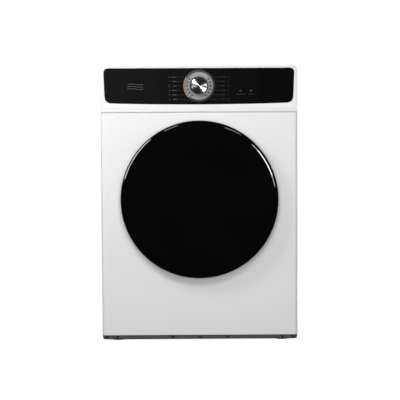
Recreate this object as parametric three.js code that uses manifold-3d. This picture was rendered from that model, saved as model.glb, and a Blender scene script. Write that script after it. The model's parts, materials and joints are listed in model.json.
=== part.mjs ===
// A vented front-loading clothes dryer, as an assembly of separate pieces.
// Millimetres, +Z up, front facing -Y, origin on the floor under the centre of the machine.
import * as THREE from "three";
import { mergeVertices } from "three/addons/utils/BufferGeometryUtils.js";
import Module from "manifold-3d";

const wasm = await Module();
wasm.setup();

// Driving dimensions
const GAP = 0.3; // between pieces that touch
const SHEET = 1; // sheet steel
const HALF_WIDTH = 297.5;
const FOOT_PAD = 5; // feet wound fully in
const TOP = FOOT_PAD + 830;
const FRONT = -235; // face of the front panel
const REAR = 265; // face of the rear panel
const DOOR_FACE = -280; // crown of the door
const VENT_END = 280; // end of the outlet collar
const PANEL_BOTTOM = 17.3; // lower edge of the front panel, above the base strip
const SEAM = 693; // upper edge of the front panel
const CORNER_R = 12; // rolled side edges of the front panel
const TOP_CORNER_R = 18; // upper corners of console and worktop

const DOOR_Z = 431.5;
const DOOR_R = 238.3;
const DOOR_BACK = -238; // back face of the door ring
const PORT_R = 206; // hole in the front panel
const WELL_R = 190; // clear radius of the door well
const HINGE_X = -225.3;
const HINGE_Y = -257;
const GRIP_ANGLE = -25; // degrees from the door's right-hand side, down

const DRUM_Z = 470;
const DRUM_R = 283;
const DRUM_FRONT = -172;
const DRUM_REAR = 212;

const MOTOR_X = 120;
const MOTOR_Z = 105;
const PULLEY_R = 9;
const IDLER = { x: 20, z: 112, r: 14 };
const ARM_PIVOT = { x: 50, z: 50 };
const BELT_Y = 104;
const BELT_WIDTH = 9;
const ROLLER_R = 25;
const ROLLER_ANGLE = 38; // degrees either side of the drum's lowest point
const VENT_X = -110;
const VENT_Z = 95;

const DIAL_Z = 774;
const CONSOLE_FACE = -238;
const FASCIA_FACE = -237;
const FOOT_X = 250;
const FOOT_Y = [-190, 215];

const BIG = 36; // sides of the large round pieces
const MEDIUM = 20;
const SMALL = 12;
const RAD = Math.PI / 180;

// Materials
const finish = (color, roughness, metalness = 0) =>
  new THREE.MeshStandardMaterial({ color, roughness, metalness });
const WHITE_PAINT = finish(0xf1f2f2, 0.35);
const WHITE_PLASTIC = finish(0xeff0f0, 0.4);
const GREY_PLASTIC = finish(0x6d7073, 0.6);
const BLACK_GLOSS = finish(0x08090a, 0.08);
const BLACK_PLASTIC = finish(0x17181a, 0.5);
const GALVANISED = finish(0xa9adb0, 0.45, 0.8);
const STAINLESS = finish(0xc4c6c8, 0.3, 0.95);
const STEEL = finish(0x8f9295, 0.35, 0.95);
const CHROME = finish(0xc9cacc, 0.12, 1);
const SATIN = finish(0xb9bbbd, 0.4, 0.8);
const RUBBER = finish(0x1c1c1d, 0.9);
const FELT = finish(0x8a8578, 1);
const BRONZE = finish(0x9a6b3c, 0.4, 0.9);
const BOARD = finish(0x1f5a34, 0.6);
const ALUMINIUM = finish(0xb4b6b8, 0.5, 0.9);

// Solids: geometry to manifold-3d and back

function solid(geometry) {
  const bare = new THREE.BufferGeometry().setAttribute("position", geometry.getAttribute("position"));
  if (geometry.index) bare.setIndex(geometry.index);
  const merged = mergeVertices(bare, 1e-3);
  const kept = [];
  const index = merged.index.array;
  for (let i = 0; i < index.length; i += 3) {
    const [a, b, c] = [index[i], index[i + 1], index[i + 2]];
    if (a !== b && b !== c && c !== a) kept.push(a, b, c);
  }
  const vertProperties = merged.attributes.position.array;
  return new wasm.Manifold(new wasm.Mesh({ numProp: 3, vertProperties, triVerts: new Uint32Array(kept) }));
}

function geometryOf(made) {
  const mesh = made.getMesh();
  const geometry = new THREE.BufferGeometry();
  geometry.setAttribute("position", new THREE.BufferAttribute(mesh.vertProperties, 3));
  geometry.setIndex(new THREE.BufferAttribute(mesh.triVerts, 1));
  geometry.computeVertexNormals();
  return geometry;
}

const join = (...geometries) =>
  geometryOf(geometries.map(solid).reduce((whole, piece) => whole.add(piece)));

const cut = (geometry, ...tools) =>
  geometryOf(tools.map(solid).reduce((whole, tool) => whole.subtract(tool), solid(geometry)));

// Shapes

function box(x0, x1, y0, y1, z0, z1) {
  const geometry = new THREE.BoxGeometry(x1 - x0, y1 - y0, z1 - z0);
  return geometry.translate((x0 + x1) / 2, (y0 + y1) / 2, (z0 + z1) / 2);
}

// A closed outline of [radius, y] turned about the Y axis through (x, z).
function turned(outline, sides, x = 0, z = 0) {
  const area = outline.reduce((sum, [r, y], i) => {
    const [nextR, nextY] = outline[(i + 1) % outline.length];
    return sum + r * nextY - nextR * y;
  }, 0);
  const points = area < 0 ? [...outline].reverse() : [...outline];
  if (outline.every(([r]) => r > 0)) points.push(points[0]);
  else while (points[0][0] > 0 || points[points.length - 1][0] > 0) points.push(points.shift());
  return new THREE.LatheGeometry(points.map(([r, y]) => new THREE.Vector2(r, y)), sides).translate(x, 0, z);
}

const tubeY = (inner, outer, y0, y1, sides, x = 0, z = 0) =>
  turned([[inner, y0], [outer, y0], [outer, y1], [inner, y1]], sides, x, z);

function rodY(r, y0, y1, sides, x = 0, z = 0) {
  return new THREE.CylinderGeometry(r, r, y1 - y0, sides).translate(x, (y0 + y1) / 2, z);
}

function rodZ(r, z0, z1, sides, x = 0, y = 0) {
  return new THREE.CylinderGeometry(r, r, z1 - z0, sides).rotateX(90 * RAD).translate(x, y, (z0 + z1) / 2);
}

// A shape drawn in X and Z, made solid from y0 to y1.
function slabY(shape, y0, y1, curveSegments = 10) {
  const geometry = new THREE.ExtrudeGeometry(shape, { depth: y1 - y0, bevelEnabled: false, curveSegments });
  return geometry.rotateX(90 * RAD).translate(0, y1, 0);
}

// A shape drawn in X and Y, made solid from z0 to z1.
function slabZ(shape, z0, z1, curveSegments = 4) {
  const geometry = new THREE.ExtrudeGeometry(shape, { depth: z1 - z0, bevelEnabled: false, curveSegments });
  return geometry.translate(0, 0, z0);
}

const polygon = (points) => new THREE.Shape(points.map(([x, y]) => new THREE.Vector2(x, y)));

// A rectangle with upper corners of one radius and lower corners of another.
function roundedRect(x0, x1, z0, z1, upper, lower) {
  const shape = new THREE.Shape();
  shape.moveTo(x0 + lower, z0);
  shape.lineTo(x1 - lower, z0);
  shape.absarc(x1 - lower, z0 + lower, lower, -90 * RAD, 0, false);
  shape.absarc(x1 - upper, z1 - upper, upper, 0, 90 * RAD, false);
  shape.absarc(x0 + upper, z1 - upper, upper, 90 * RAD, 180 * RAD, false);
  shape.absarc(x0 + lower, z0 + lower, lower, 180 * RAD, 270 * RAD, false);
  return shape;
}

const around = (count, from = 0) => Array.from({ length: count }, (_, i) => from + (i * 360) / count);

const root = new THREE.Group();

function group(x = 0, y = 0, z = 0) {
  const made = new THREE.Group();
  made.position.set(x, y, z);
  root.add(made);
  return made;
}

function piece(parent, name, geometry, material) {
  const mesh = new THREE.Mesh(geometry, material);
  mesh.name = name;
  parent.add(mesh);
  return mesh;
}

// Cabinet

const TRAY = { x: 295.2, y0: -232, y1: 261.2, z1: 40, wall: 3 };
const STRIP_HOLES_X = [-282, -251, -83, 0, 83, 251, 282];

function baseTray() {
  const { x, y0, y1, z1, wall } = TRAY;
  const inside = box(-x + wall, x - wall, y0 + wall + 1, y1 - wall, FOOT_PAD + wall, z1 + 1);
  const stripHoles = STRIP_HOLES_X.map((at) => rodY(3, y0 - 1, y0 + 5, 10, at, 11.6));
  const stemHoles = footPlaces().map(([fx, fy]) => rodZ(5.8, 0, FOOT_PAD + 6, SMALL, fx, fy));
  const plan = roundedRect(-x, x, -y1, -y0, CORNER_R, 2);
  return cut(slabZ(plan, FOOT_PAD, z1).rotateZ(180 * RAD), inside, ...stripHoles, ...stemHoles);
}

function footPlaces() {
  return FOOT_Y.flatMap((y) => [[-FOOT_X, y], [FOOT_X, y]]);
}

function sidePanel(side) {
  const [outer, inner, lip] = [HALF_WIDTH, HALF_WIDTH - SHEET, HALF_WIDTH - 14];
  const [y0, y1] = [FRONT + 22, REAR - SHEET - GAP];
  const outline = [
    [outer, y0], [outer, y1], [lip, y1], [lip, y1 - SHEET],
    [inner, y1 - SHEET], [inner, y0 + SHEET], [lip, y0 + SHEET], [lip, y0],
  ].map(([x, y]) => [side * x, y]);
  const folded = slabZ(polygon(side > 0 ? outline : outline.reverse()), TRAY.z1 + 1, 810.7);
  const [near, far] = [side * inner, side * outer].sort((a, b) => a - b);
  return join(folded, box(near, far, y0, y1, 8, TRAY.z1 + 2));
}

function frontPanel() {
  const back = FRONT + 21.6;
  const shape = new THREE.Shape();
  const [outer, inner, centre] = [HALF_WIDTH, HALF_WIDTH - SHEET, HALF_WIDTH - CORNER_R];
  const [arcY, innerR] = [FRONT + CORNER_R, CORNER_R - SHEET];
  shape.moveTo(-outer, back);
  shape.absarc(-centre, arcY, CORNER_R, 180 * RAD, 270 * RAD, false);
  shape.absarc(centre, arcY, CORNER_R, 270 * RAD, 360 * RAD, false);
  shape.lineTo(outer, back);
  shape.lineTo(inner, back);
  shape.absarc(centre, arcY, innerR, 360 * RAD, 270 * RAD, true);
  shape.absarc(-centre, arcY, innerR, 270 * RAD, 180 * RAD, true);
  shape.lineTo(-inner, back);
  const port = rodY(PORT_R, FRONT - 5, FRONT + 5, BIG, 0, DOOR_Z);
  const latchSlot = box(218.5, 230, FRONT - 5, FRONT + 5, DOOR_Z - 13, DOOR_Z + 13);
  const lugSlots = [-1, 1].map((side) => {
    const [near, far] = [17.4, 30.6].map((z) => DOOR_Z + side * z);
    const [low, high] = [Math.min(near, far), Math.max(near, far)];
    return box(HINGE_X - 3.5, HINGE_X + 3.5, FRONT - 5, FRONT + 5, low, high);
  });
  return cut(slabZ(shape, PANEL_BOTTOM, SEAM), port, latchSlot, ...lugSlots);
}

function rearPanel() {
  const plate = box(-HALF_WIDTH + 0.5, HALF_WIDTH - 0.5, REAR - SHEET, REAR, 12, 810.7);
  const ventHole = rodY(51, REAR - 5, REAR + 5, MEDIUM, VENT_X, VENT_Z);
  const inletHole = rodY(9.6, REAR - 5, REAR + 5, SMALL, INLET.x, INLET.z);
  const slots = [];
  for (let row = 0; row < 3; row += 1) {
    for (let column = 0; column < 4; column += 1) {
      const [x, z] = [-20 + column * 52, 200 + row * 22];
      slots.push(box(x, x + 40, REAR - 5, REAR + 5, z, z + 8));
    }
  }
  return cut(plate, ventHole, inletHole, ...slots);
}

function worktop() {
  const [y0, y1, z0, skin] = [FRONT + 23, REAR, 811, 3];
  const outside = roundedRect(-HALF_WIDTH, HALF_WIDTH, z0, TOP, TOP_CORNER_R, 0.5);
  const half = HALF_WIDTH - skin;
  const inside = roundedRect(-half, half, z0 - 30, TOP - skin, TOP_CORNER_R - skin, 0.5);
  return cut(slabY(outside, y0, y1, 5), slabY(inside, y0 + skin, y1 - skin, 5));
}

// Console

// The fascia leans in towards its foot and its lower edge bows down a little.
function fasciaOutline(spare) {
  const [topX, footX, top, foot, bow] = [287.5, 284, 827, 722, 4];
  const [upper, lower] = [15, 22];
  const shape = new THREE.Shape();
  shape.moveTo(-footX - spare + lower, foot - spare);
  shape.quadraticCurveTo(0, foot - 2 * bow - spare, footX + spare - lower, foot - spare);
  shape.quadraticCurveTo(footX + spare, foot - spare, footX + 0.7 + spare, foot + lower - spare);
  shape.lineTo(topX + spare, top + spare - upper);
  shape.quadraticCurveTo(topX + spare, top + spare, topX + spare - upper, top + spare);
  shape.lineTo(-topX - spare + upper, top + spare);
  shape.quadraticCurveTo(-topX - spare, top + spare, -topX - spare, top + spare - upper);
  shape.lineTo(-footX - 0.7 - spare, foot + lower - spare);
  shape.quadraticCurveTo(-footX - spare, foot - spare, -footX - spare + lower, foot - spare);
  return shape;
}

function consoleFrame() {
  const [z0, z1, back, wall] = [SEAM + 2.5, TOP - GAP, FRONT + 21.6, 3.5];
  const half = HALF_WIDTH - 0.2;
  const floorFront = FASCIA_FACE + 3.7;
  const body = slabY(roundedRect(-half, half, z0, z1, TOP_CORNER_R, 2), CONSOLE_FACE, back, 6);
  const pocket = slabY(fasciaOutline(0.5), CONSOLE_FACE - 1, floorFront, 8);
  const inside = roundedRect(-half + wall, half - wall, z0 + wall, z1 - wall, TOP_CORNER_R - wall, 2);
  const hollow = slabY(inside, floorFront + 3, back + 1, 6);
  const spindleHole = rodY(12, floorFront - 1, floorFront + 4, SMALL, 0, DIAL_Z);
  return cut(body, pocket, hollow, spindleHole);
}

function consoleFascia() {
  const plate = slabY(fasciaOutline(0), FASCIA_FACE, FASCIA_FACE + 3.4, 8);
  return cut(plate, rodY(43, FASCIA_FACE - 1, FASCIA_FACE + 5, MEDIUM, 0, DIAL_Z));
}

const RIM = [[42.2, -237.3], [48, -237.3], [48, -241], [46.3, -244.6], [44, -245.2], [42.2, -243.4]];
const RING = [[28.2, -241.5], [41.9, -241.5], [41.9, -233.6], [38.9, -233.6], [38.9, -239], [28.2, -239]];
const KNOB = [
  [0, -221], [3, -221], [3, -236], [26.4, -236], [27, -237], [27, -256.6],
  [25.6, -258.6], [24.6, -258.6], [24.6, -257.4], [0, -257.4],
];
const CAP = [[0, -257.8], [24.2, -257.8], [24.2, -259.2], [22.6, -260], [0, -260.4]];

// Twelve windows, six on each side of the dial, 18 degrees apart.
const WINDOW_ANGLES = [36, 18, 0, -18, -36, -54].flatMap((angle) => [angle, 180 - angle]);

function indicatorRing() {
  const windows = WINDOW_ANGLES.map((angle) => {
    const [x, z] = [35.4 * Math.cos(angle * RAD), 35.4 * Math.sin(angle * RAD)];
    return rodY(1.7, -242, -238, 6, x, z);
  });
  return cut(turned(RING, MEDIUM + 8), ...windows);
}

// The board, its tall components, and the encoder that takes the knob's spindle.
function controlBoard() {
  const plate = box(-80, 250, -218.5, -216.9, DIAL_Z - 39, DIAL_Z + 31);
  const parts = [[-60, -30, 14], [60, 84, 17], [95, 119, 17], [150, 195, 12], [215, 235, 15]].map(
    ([x0, x1, height]) => box(x0, x1, -217, -216.9 + height, DIAL_Z - 25, DIAL_Z + 5));
  const encoder = box(-15, 15, -229.8, -218.4, DIAL_Z - 15, DIAL_Z + 15);
  return cut(join(plate, ...parts, encoder), rodY(3.6, -235, -218.6, SMALL, 0, DIAL_Z));
}

// Bulkheads, well and seals

function rollerPlace(side) {
  const reach = DRUM_R + ROLLER_R + GAP;
  return [side * reach * Math.sin(ROLLER_ANGLE * RAD), DRUM_Z - reach * Math.cos(ROLLER_ANGLE * RAD)];
}

const WELL = [
  [205, -233.1], [208, -233.1], [208, -220], [193, -213],
  [193, DRUM_FRONT], [WELL_R, DRUM_FRONT], [WELL_R, -214.5], [205, -222],
];
const FILTER = { x: 74.5, y0: -202, y1: -189, z0: 112, z1: 262 };

function frontBulkhead() {
  const [x, y, lip, z0, z1] = [288, -181.5, -195, 190, 770];
  const plate = box(-x, x, y, y + SHEET, z0, z1);
  const flanges = [[-x, -x + SHEET], [x - SHEET, x]].map(
    ([x0, x1]) => box(x0, x1, lip, y + SHEET / 2, z0, z1));
  const studs = [-1, 1].map((side) => rodY(5, y, -137, SMALL, ...rollerPlace(side)));
  const opening = rodY(WELL_R + 3.8, -190, -170, BIG, 0, DOOR_Z);
  return cut(join(plate, ...flanges, ...studs), opening);
}

function doorWell() {
  const { x, y0, y1 } = FILTER;
  const slot = box(-x - 1.2, x + 1.2, y0 - 1.2, y1 + 1.2, -WELL_R - 30, -WELL_R / 2);
  return cut(turned(WELL, BIG), slot);
}

// The duct's outline: an arched top that fits under the well, narrowing to the blower's inlet.
function ductOutline(inset, archR) {
  const [left, right] = [-118 + inset, 118 - inset];
  const arch = (x) => Math.atan2(-Math.sqrt(archR * archR - x * x), x);
  const shape = new THREE.Shape();
  shape.moveTo(left, 118 + 0.4 * inset);
  shape.lineTo(66 + 0.4 * inset, 48 + inset);
  shape.lineTo(178 - inset, 48 + inset);
  shape.lineTo(178 - inset, 166 - 0.6 * inset);
  shape.lineTo(right, 205);
  shape.absarc(0, DOOR_Z, archR, arch(right), arch(left), true);
  return shape;
}

const DUCT = { y0: -211.5, y1: -185.5, wall: 2.2, archR: 194.2 };

// The duct is a tray, open at the front, that its cover closes.
function filterDuct() {
  const { y0, y1, wall, archR } = DUCT;
  const shell = slabY(ductOutline(0, archR), y0 + wall + GAP, y1, 8);
  const inside = slabY(ductOutline(wall, archR + wall), y0, y1 - wall, 8);
  const { x } = FILTER;
  const mouth = box(-x - 1.2, x + 1.2, FILTER.y0 - 1.2, FILTER.y1 + 1.2, 215, 260);
  const outlet = rodY(45, y1 - 4, y1 + 1, MEDIUM, MOTOR_X, MOTOR_Z);
  return cut(shell, inside, mouth, outlet);
}

const filterDuctCover = () => slabY(ductOutline(0, DUCT.archR), DUCT.y0, DUCT.y0 + DUCT.wall, 8);

function lintFilter() {
  const { x, y0, y1, z0, z1 } = FILTER;
  const middle = (y0 + y1) / 2;
  const tools = [];
  for (const side of [-1, 1]) {
    for (const [x0, x1] of [[-x + 6, -3], [3, x - 6]]) {
      const [a, b] = side < 0 ? [y0 - 1, middle - 0.8] : [middle + 0.8, y1 + 1];
      tools.push(box(x0, x1, a, b, z0 + 6, z1 - 30));
    }
  }
  const fingerRecess = box(-28, 28, y0 - 1, y0 + 7, z1 - 20, z1 - 6);
  return cut(box(-x, x, y0, y1, z0, z1), ...tools, fingerRecess);
}

function rearBulkhead() {
  const shape = polygon([[-290, 150], [290, 150], [290, 790], [-290, 790]]);
  for (const from of around(3, 90)) {
    const [a, b] = [(from + 9) * RAD, (from + 111) * RAD];
    const window = new THREE.Path();
    window.absarc(0, DRUM_Z, 205, a, b, false);
    window.absarc(0, DRUM_Z, 42, b, a, true);
    shape.holes.push(window);
  }
  return cut(slabY(shape, 222, 222 + SHEET, 7), rodY(18.8, 215, 230, SMALL, 0, DRUM_Z));
}

// Air path

function heaterHousing() {
  const dish = [[26, 256.5], [213.5, 256.5], [213.5, 224.3], [215, 224.3], [215, 258], [26, 258]];
  return cut(turned(dish, BIG), box(-60, 60, 232, 252, -222, -200));
}

class RingArc extends THREE.Curve {
  getPoint(t) {
    const angle = (-80 + 340 * t) * RAD;
    return new THREE.Vector3(140 * Math.sin(angle), 241, -140 * Math.cos(angle));
  }
}

function heaterElement() {
  const section = new THREE.Shape().absarc(0, 0, 5, 0, 360 * RAD, false);
  return new THREE.ExtrudeGeometry(section, { steps: 28, extrudePath: new RingArc(), curveSegments: 3 });
}

function blowerBody(inset, y0, y1) {
  const scroll = rodY(78 - inset, y0, y1, MEDIUM, MOTOR_X, MOTOR_Z);
  const half = 50 - inset;
  const plenum = box(VENT_X - half, MOTOR_X, y0, y1, VENT_Z - half, VENT_Z + half);
  return join(scroll, plenum);
}

function blowerHousing() {
  return cut(
    blowerBody(0, -184, -124),
    blowerBody(2.5, -181.5, -126.5),
    rodY(45, -190, -180, MEDIUM, MOTOR_X, MOTOR_Z),
    rodY(9, -130, -120, SMALL, MOTOR_X, MOTOR_Z),
    rodY(43, -130, -120, MEDIUM, VENT_X, VENT_Z),
  );
}

const COLLAR = [
  [46.5, 258.4], [50, 258.4], [50, 265.3], [60, 265.3],
  [60, 267.3], [50, 267.3], [50, VENT_END], [46.5, VENT_END],
];

// Drive

const onMotor = (outline, sides) => turned(outline, sides, MOTOR_X, MOTOR_Z);

const MOTOR = [[7, -58], [30, -58], [34, -50], [62, -50], [62, 60], [34, 60], [30, 68], [7, 68]];

function motorBracket() {
  const [x0, x1, y0, y1, floor] = [58, 182, -40, 121, 8.4];
  const plate = box(38, x1, y0, y1, floor, floor + 3);
  const walls = [y0, 46].map((y) => box(x0, x1, y, y + 4, floor, 82));
  const ear = box(38, 66, 118, y1, floor, 60);
  const cradle = rodY(62.6, -60, 70, MEDIUM, MOTOR_X, MOTOR_Z);
  const pivotHole = rodY(4, 110, 130, SMALL, ARM_PIVOT.x, ARM_PIVOT.z);
  return cut(join(plate, ...walls, ear), cradle, pivotHole);
}

const grooved = (bore, groove, flange) => {
  const [y0, y1] = [BELT_Y - BELT_WIDTH / 2 - 0.3, BELT_Y + BELT_WIDTH / 2 + 0.3];
  return [
    [bore, y0 - 1.5], [flange, y0 - 1.5], [flange, y0], [groove, y0],
    [groove, y1], [flange, y1], [flange, y1 + 1.5], [bore, y1 + 1.5],
  ];
};

function impeller() {
  const back = tubeY(6.4, 62, -133, -131, MEDIUM);
  const front = tubeY(46, 62, -176, -174.4, MEDIUM);
  const hub = tubeY(6.4, 13, -150, -132, SMALL);
  const blades = around(12).map((angle) =>
    box(46.5, 61.5, -175, -132, -1, 1).translate(-54, 0, 0).rotateY(50 * RAD).translate(54, 0, 0)
      .rotateY(angle * RAD));
  return join(back, front, hub, ...blades);
}

// One closed loop round the drum, the idler and the motor pulley, grown outwards by spare.
function beltLoop(spare) {
  const wheels = [
    { x: 0, z: DRUM_Z, r: DRUM_R + 1 },
    { x: IDLER.x, z: IDLER.z, r: IDLER.r + GAP },
    { x: MOTOR_X, z: MOTOR_Z, r: PULLEY_R + GAP },
  ].map((wheel) => ({ ...wheel, r: wheel.r + spare }));
  const leave = wheels.map((wheel, i) => {
    const next = wheels[(i + 1) % wheels.length];
    const [dx, dz] = [next.x - wheel.x, next.z - wheel.z];
    return Math.atan2(dz, dx) - Math.acos((wheel.r - next.r) / Math.hypot(dx, dz));
  });
  const points = [];
  wheels.forEach((wheel, i) => {
    const start = leave[(i + wheels.length - 1) % wheels.length];
    const turn = (leave[i] - start + 8 * Math.PI) % (2 * Math.PI);
    const steps = Math.max(3, Math.round(turn / (i === 0 ? 8 * RAD : 25 * RAD)));
    for (let k = 0; k <= steps; k += 1) {
      const angle = start + (turn * k) / steps;
      points.push([wheel.x + wheel.r * Math.cos(angle), wheel.z + wheel.r * Math.sin(angle)]);
    }
  });
  return points;
}

function driveBelt() {
  const shape = polygon(beltLoop(2));
  shape.holes.push(new THREE.Path(beltLoop(0).map(([x, z]) => new THREE.Vector2(x, z))));
  return slabY(shape, BELT_Y - BELT_WIDTH / 2, BELT_Y + BELT_WIDTH / 2);
}

function idlerArm() {
  const [dx, dz] = [IDLER.x - ARM_PIVOT.x, IDLER.z - ARM_PIVOT.z];
  const [length, lean] = [Math.hypot(dx, dz), Math.atan2(dx, dz)];
  const bar = box(-7, 7, 113, 116, 0, length).rotateY(lean).translate(ARM_PIVOT.x, 0, ARM_PIVOT.z);
  const ends = [ARM_PIVOT, IDLER].map(({ x, z }) => rodY(7, 113, 116, SMALL, x, z));
  const pivot = rodY(3.6, 101, 123, SMALL, ARM_PIVOT.x, ARM_PIVOT.z);
  const stud = rodY(3.6, 97.5, 114, SMALL, IDLER.x, IDLER.z);
  return join(bar, ...ends, pivot, stud);
}

class SpringCoil extends THREE.Curve {
  getPoint(t) {
    const angle = 3 * 360 * RAD * t;
    return new THREE.Vector3(6 * Math.cos(angle), 103 + 8.4 * t, 6 * Math.sin(angle));
  }
}

function idlerSpring() {
  const section = new THREE.Shape().absarc(0, 0, 0.9, 0, 360 * RAD, false);
  const path = { steps: 36, extrudePath: new SpringCoil(), curveSegments: 2 };
  const coil = new THREE.ExtrudeGeometry(section, path);
  return coil.translate(ARM_PIVOT.x, 0, ARM_PIVOT.z);
}

// Drum, about its own axis

const SHELL = [
  [258, DRUM_FRONT], [DRUM_R, DRUM_FRONT], [DRUM_R, DRUM_REAR], [DRUM_R - SHEET, DRUM_REAR],
  [DRUM_R - SHEET, DRUM_FRONT + SHEET], [258, DRUM_FRONT + SHEET],
];
const REAR_WALL = [[0, 199], [280.2, 199], [280.2, 211.5], [278.7, 211.5], [278.7, 200.5], [0, 200.5]];
const SHAFT = [[0, 200.8], [55, 200.8], [55, 204.8], [12, 204.8], [12, 250], [0, 250]];
const LIFTER = [[-34, 0], [34, 0], [23, 28], [10, 56], [-10, 56], [-23, 28]];
const LIFTER_HOLLOW = [[-30, -5], [30, -5], [20, 27], [8, 53], [-8, 53], [-20, 27]];

function drumRearWall() {
  const holes = around(12).map((angle) =>
    rodY(16, 190, 210, 8, 140 * Math.cos(angle * RAD), 140 * Math.sin(angle * RAD)));
  return cut(turned(REAR_WALL, BIG), ...holes);
}

function lifter(angle) {
  const shell = cut(slabY(polygon(LIFTER), -150, 180), slabY(polygon(LIFTER_HOLLOW), -147, 177));
  return shell.translate(0, 0, -277.5).rotateY(angle * RAD);
}

// Door, about its own centre

const RING_SECTION = [
  [205, DOOR_BACK], [DOOR_R - 9, DOOR_BACK], [DOOR_R, -246], [DOOR_R, -257], [DOOR_R - 3, -257],
  [DOOR_R - 3, -247.2], [DOOR_R - 10, -241], [208, -241], [208, -257], [205, -257],
];
const INNER_FRAME = [[180.5, -243], [204.6, -243], [204.6, -230], [201, -226], [184, -226], [180.5, -230]];
const BOWL = [
  [0, -209], [150, -209], [172, -217], [180, -231], [180, -243.3], [190, -243.3], [190, -246],
  [177, -246], [177, -232], [170, -219.5], [149.4, -212], [0, -212],
];
const HINGE_HALF = 33; // half height of the hinge pocket
const POCKET_FRONT = -264.6;

// A dome that is nearly flat in the middle and turns down into an upright rim.
function domeEdge(radius, rimY, height, steps) {
  return Array.from({ length: steps + 1 }, (_, i) => {
    const angle = (90 * RAD * i) / steps;
    return [radius * Math.sin(angle) ** (1 / 3), rimY - height * Math.cos(angle)];
  });
}

function doorCover() {
  const outside = domeEdge(DOOR_R, -263, -263 - DOOR_FACE, 8);
  const inside = domeEdge(DOOR_R - 4, -262.6, 13.4, 4).reverse();
  const outline = [...outside, [DOOR_R, -257.3], [DOOR_R - 4, -257.3], ...inside];
  return cut(turned(outline, BIG), box(-242, -227, POCKET_FRONT, -250, -HINGE_HALF, HINGE_HALF));
}

const atGrip = (geometry) => geometry.rotateY(-GRIP_ANGLE * RAD);

function doorRing() {
  const hingePocket = box(-242, -208.2, -259, -230, -HINGE_HALF, HINGE_HALF);
  const gripCut = atGrip(box(213, 245, -253, -230, -42, 42));
  const latchSlot = box(220.3, 225.7, -243.5, -230, -10.5, 10.5);
  return cut(turned(RING_SECTION, BIG), hingePocket, gripCut, latchSlot);
}

function doorGrip() {
  const outer = box(213.3, 233.8, -252.7, -238.3, -41.6, 41.6);
  const finger = box(215.5, 240, -250.5, -230, -39.4, 39.4);
  return atGrip(cut(outer, finger));
}

const barrel = (z0, z1) => rodZ(4.6, z0, z1, SMALL, HINGE_X, HINGE_Y);
const pinBore = () => rodZ(3, -60, 60, SMALL, HINGE_X, HINGE_Y);

function hingeLeaf() {
  const tongue = box(HINGE_X, -214, -259, -255, -17, 17);
  const strip = box(-216, -208.5, -259, -255, -32, 32);
  return cut(join(barrel(-17, 17), tongue, strip), pinBore());
}

function hingeBracket() {
  const base = box(-244, -210, -233.2, -230.2, -45, 45);
  const lugs = [[18, 30], [-30, -18]].flatMap(([z0, z1]) => [
    barrel(z0, z1),
    box(HINGE_X - 2, HINGE_X + 2, HINGE_Y, -231, z0, z1),
  ]);
  return cut(join(base, ...lugs), pinBore());
}

function latchHook() {
  const base = box(212, 226, -244.6, -241.4, -14, 14);
  return join(base, box(221, 225, -244, -214, -9.8, 9.8));
}

function latchCatch() {
  const body = box(214, 241, -233.2, -205, -21, 21);
  return cut(body, box(218, 238, -240, -209, -13, 13));
}

function latchJaw() {
  const plan = polygon([[227.4, -222], [230, -226], [234, -226], [234, -216], [230, -216], [227.4, -219]]);
  return slabZ(plan, -8, 8);
}

// Small outside pieces

const INLET = { x: 200, z: 150 };
const INLET_OUTLINE = [
  [5, 257], [9, 257], [9, 265.3], [15, 265.3], [15, 267.5], [10, 267.5], [9, 275], [5, 275],
];
const FOOT = [[0, 0], [20, 0], [22, 1.5], [22, 4.7], [5, 4.7], [5, 36], [0, 36]];

function foot(x, y) {
  const points = FOOT.map(([r, z]) => new THREE.Vector2(r, z));
  return new THREE.LatheGeometry(points, SMALL).rotateX(90 * RAD).translate(x, y, 0);
}

// Assembly

const cabinet = group();
piece(cabinet, "base_tray", baseTray(), GREY_PLASTIC);
piece(cabinet, "side_panel_left", sidePanel(-1), WHITE_PAINT);
piece(cabinet, "side_panel_right", sidePanel(1), WHITE_PAINT);
piece(cabinet, "front_panel", frontPanel(), WHITE_PAINT);
piece(cabinet, "rear_panel", rearPanel(), GALVANISED);
piece(cabinet, "worktop", worktop(), WHITE_PLASTIC);
piece(cabinet, "front_bulkhead", frontBulkhead(), GALVANISED);
piece(cabinet, "rear_bulkhead", rearBulkhead(), GALVANISED);
piece(cabinet, "cable_inlet", turned(INLET_OUTLINE, SMALL, INLET.x, INLET.z), BLACK_PLASTIC);

const console_ = group();
piece(console_, "console_frame", consoleFrame(), WHITE_PLASTIC);
piece(console_, "console_fascia", consoleFascia(), BLACK_GLOSS);
piece(console_, "control_board", controlBoard(), BOARD);
const dial = group(0, 0, DIAL_Z);
piece(dial, "dial_rim", turned(RIM, MEDIUM + 8), CHROME);
piece(dial, "indicator_ring", indicatorRing(), SATIN);
piece(dial, "program_knob", turned(KNOB, MEDIUM), CHROME);
piece(dial, "knob_cap", turned(CAP, MEDIUM), STAINLESS);

const door = group(0, 0, DOOR_Z);
piece(door, "door_well", doorWell(), GREY_PLASTIC);
piece(door, "door_cover", doorCover(), BLACK_GLOSS);
piece(door, "door_ring", doorRing(), BLACK_PLASTIC);
piece(door, "door_inner_frame", turned(INNER_FRAME, BIG), GREY_PLASTIC);
piece(door, "door_bowl", turned(BOWL, BIG), GREY_PLASTIC);
piece(door, "door_seal", tubeY(208, 219, -237.7, -235.3, BIG), RUBBER);
piece(door, "door_grip", doorGrip(), BLACK_PLASTIC);
piece(door, "hinge_leaf", hingeLeaf(), STEEL);
piece(door, "hinge_bracket", hingeBracket(), STEEL);
piece(door, "hinge_pin", rodZ(2.5, -31, 31, SMALL, HINGE_X, HINGE_Y), STEEL);
piece(door, "latch_hook", latchHook(), BLACK_PLASTIC);
piece(door, "latch_catch", latchCatch(), WHITE_PLASTIC);
piece(door, "latch_jaw", latchJaw(), STEEL);

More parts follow.
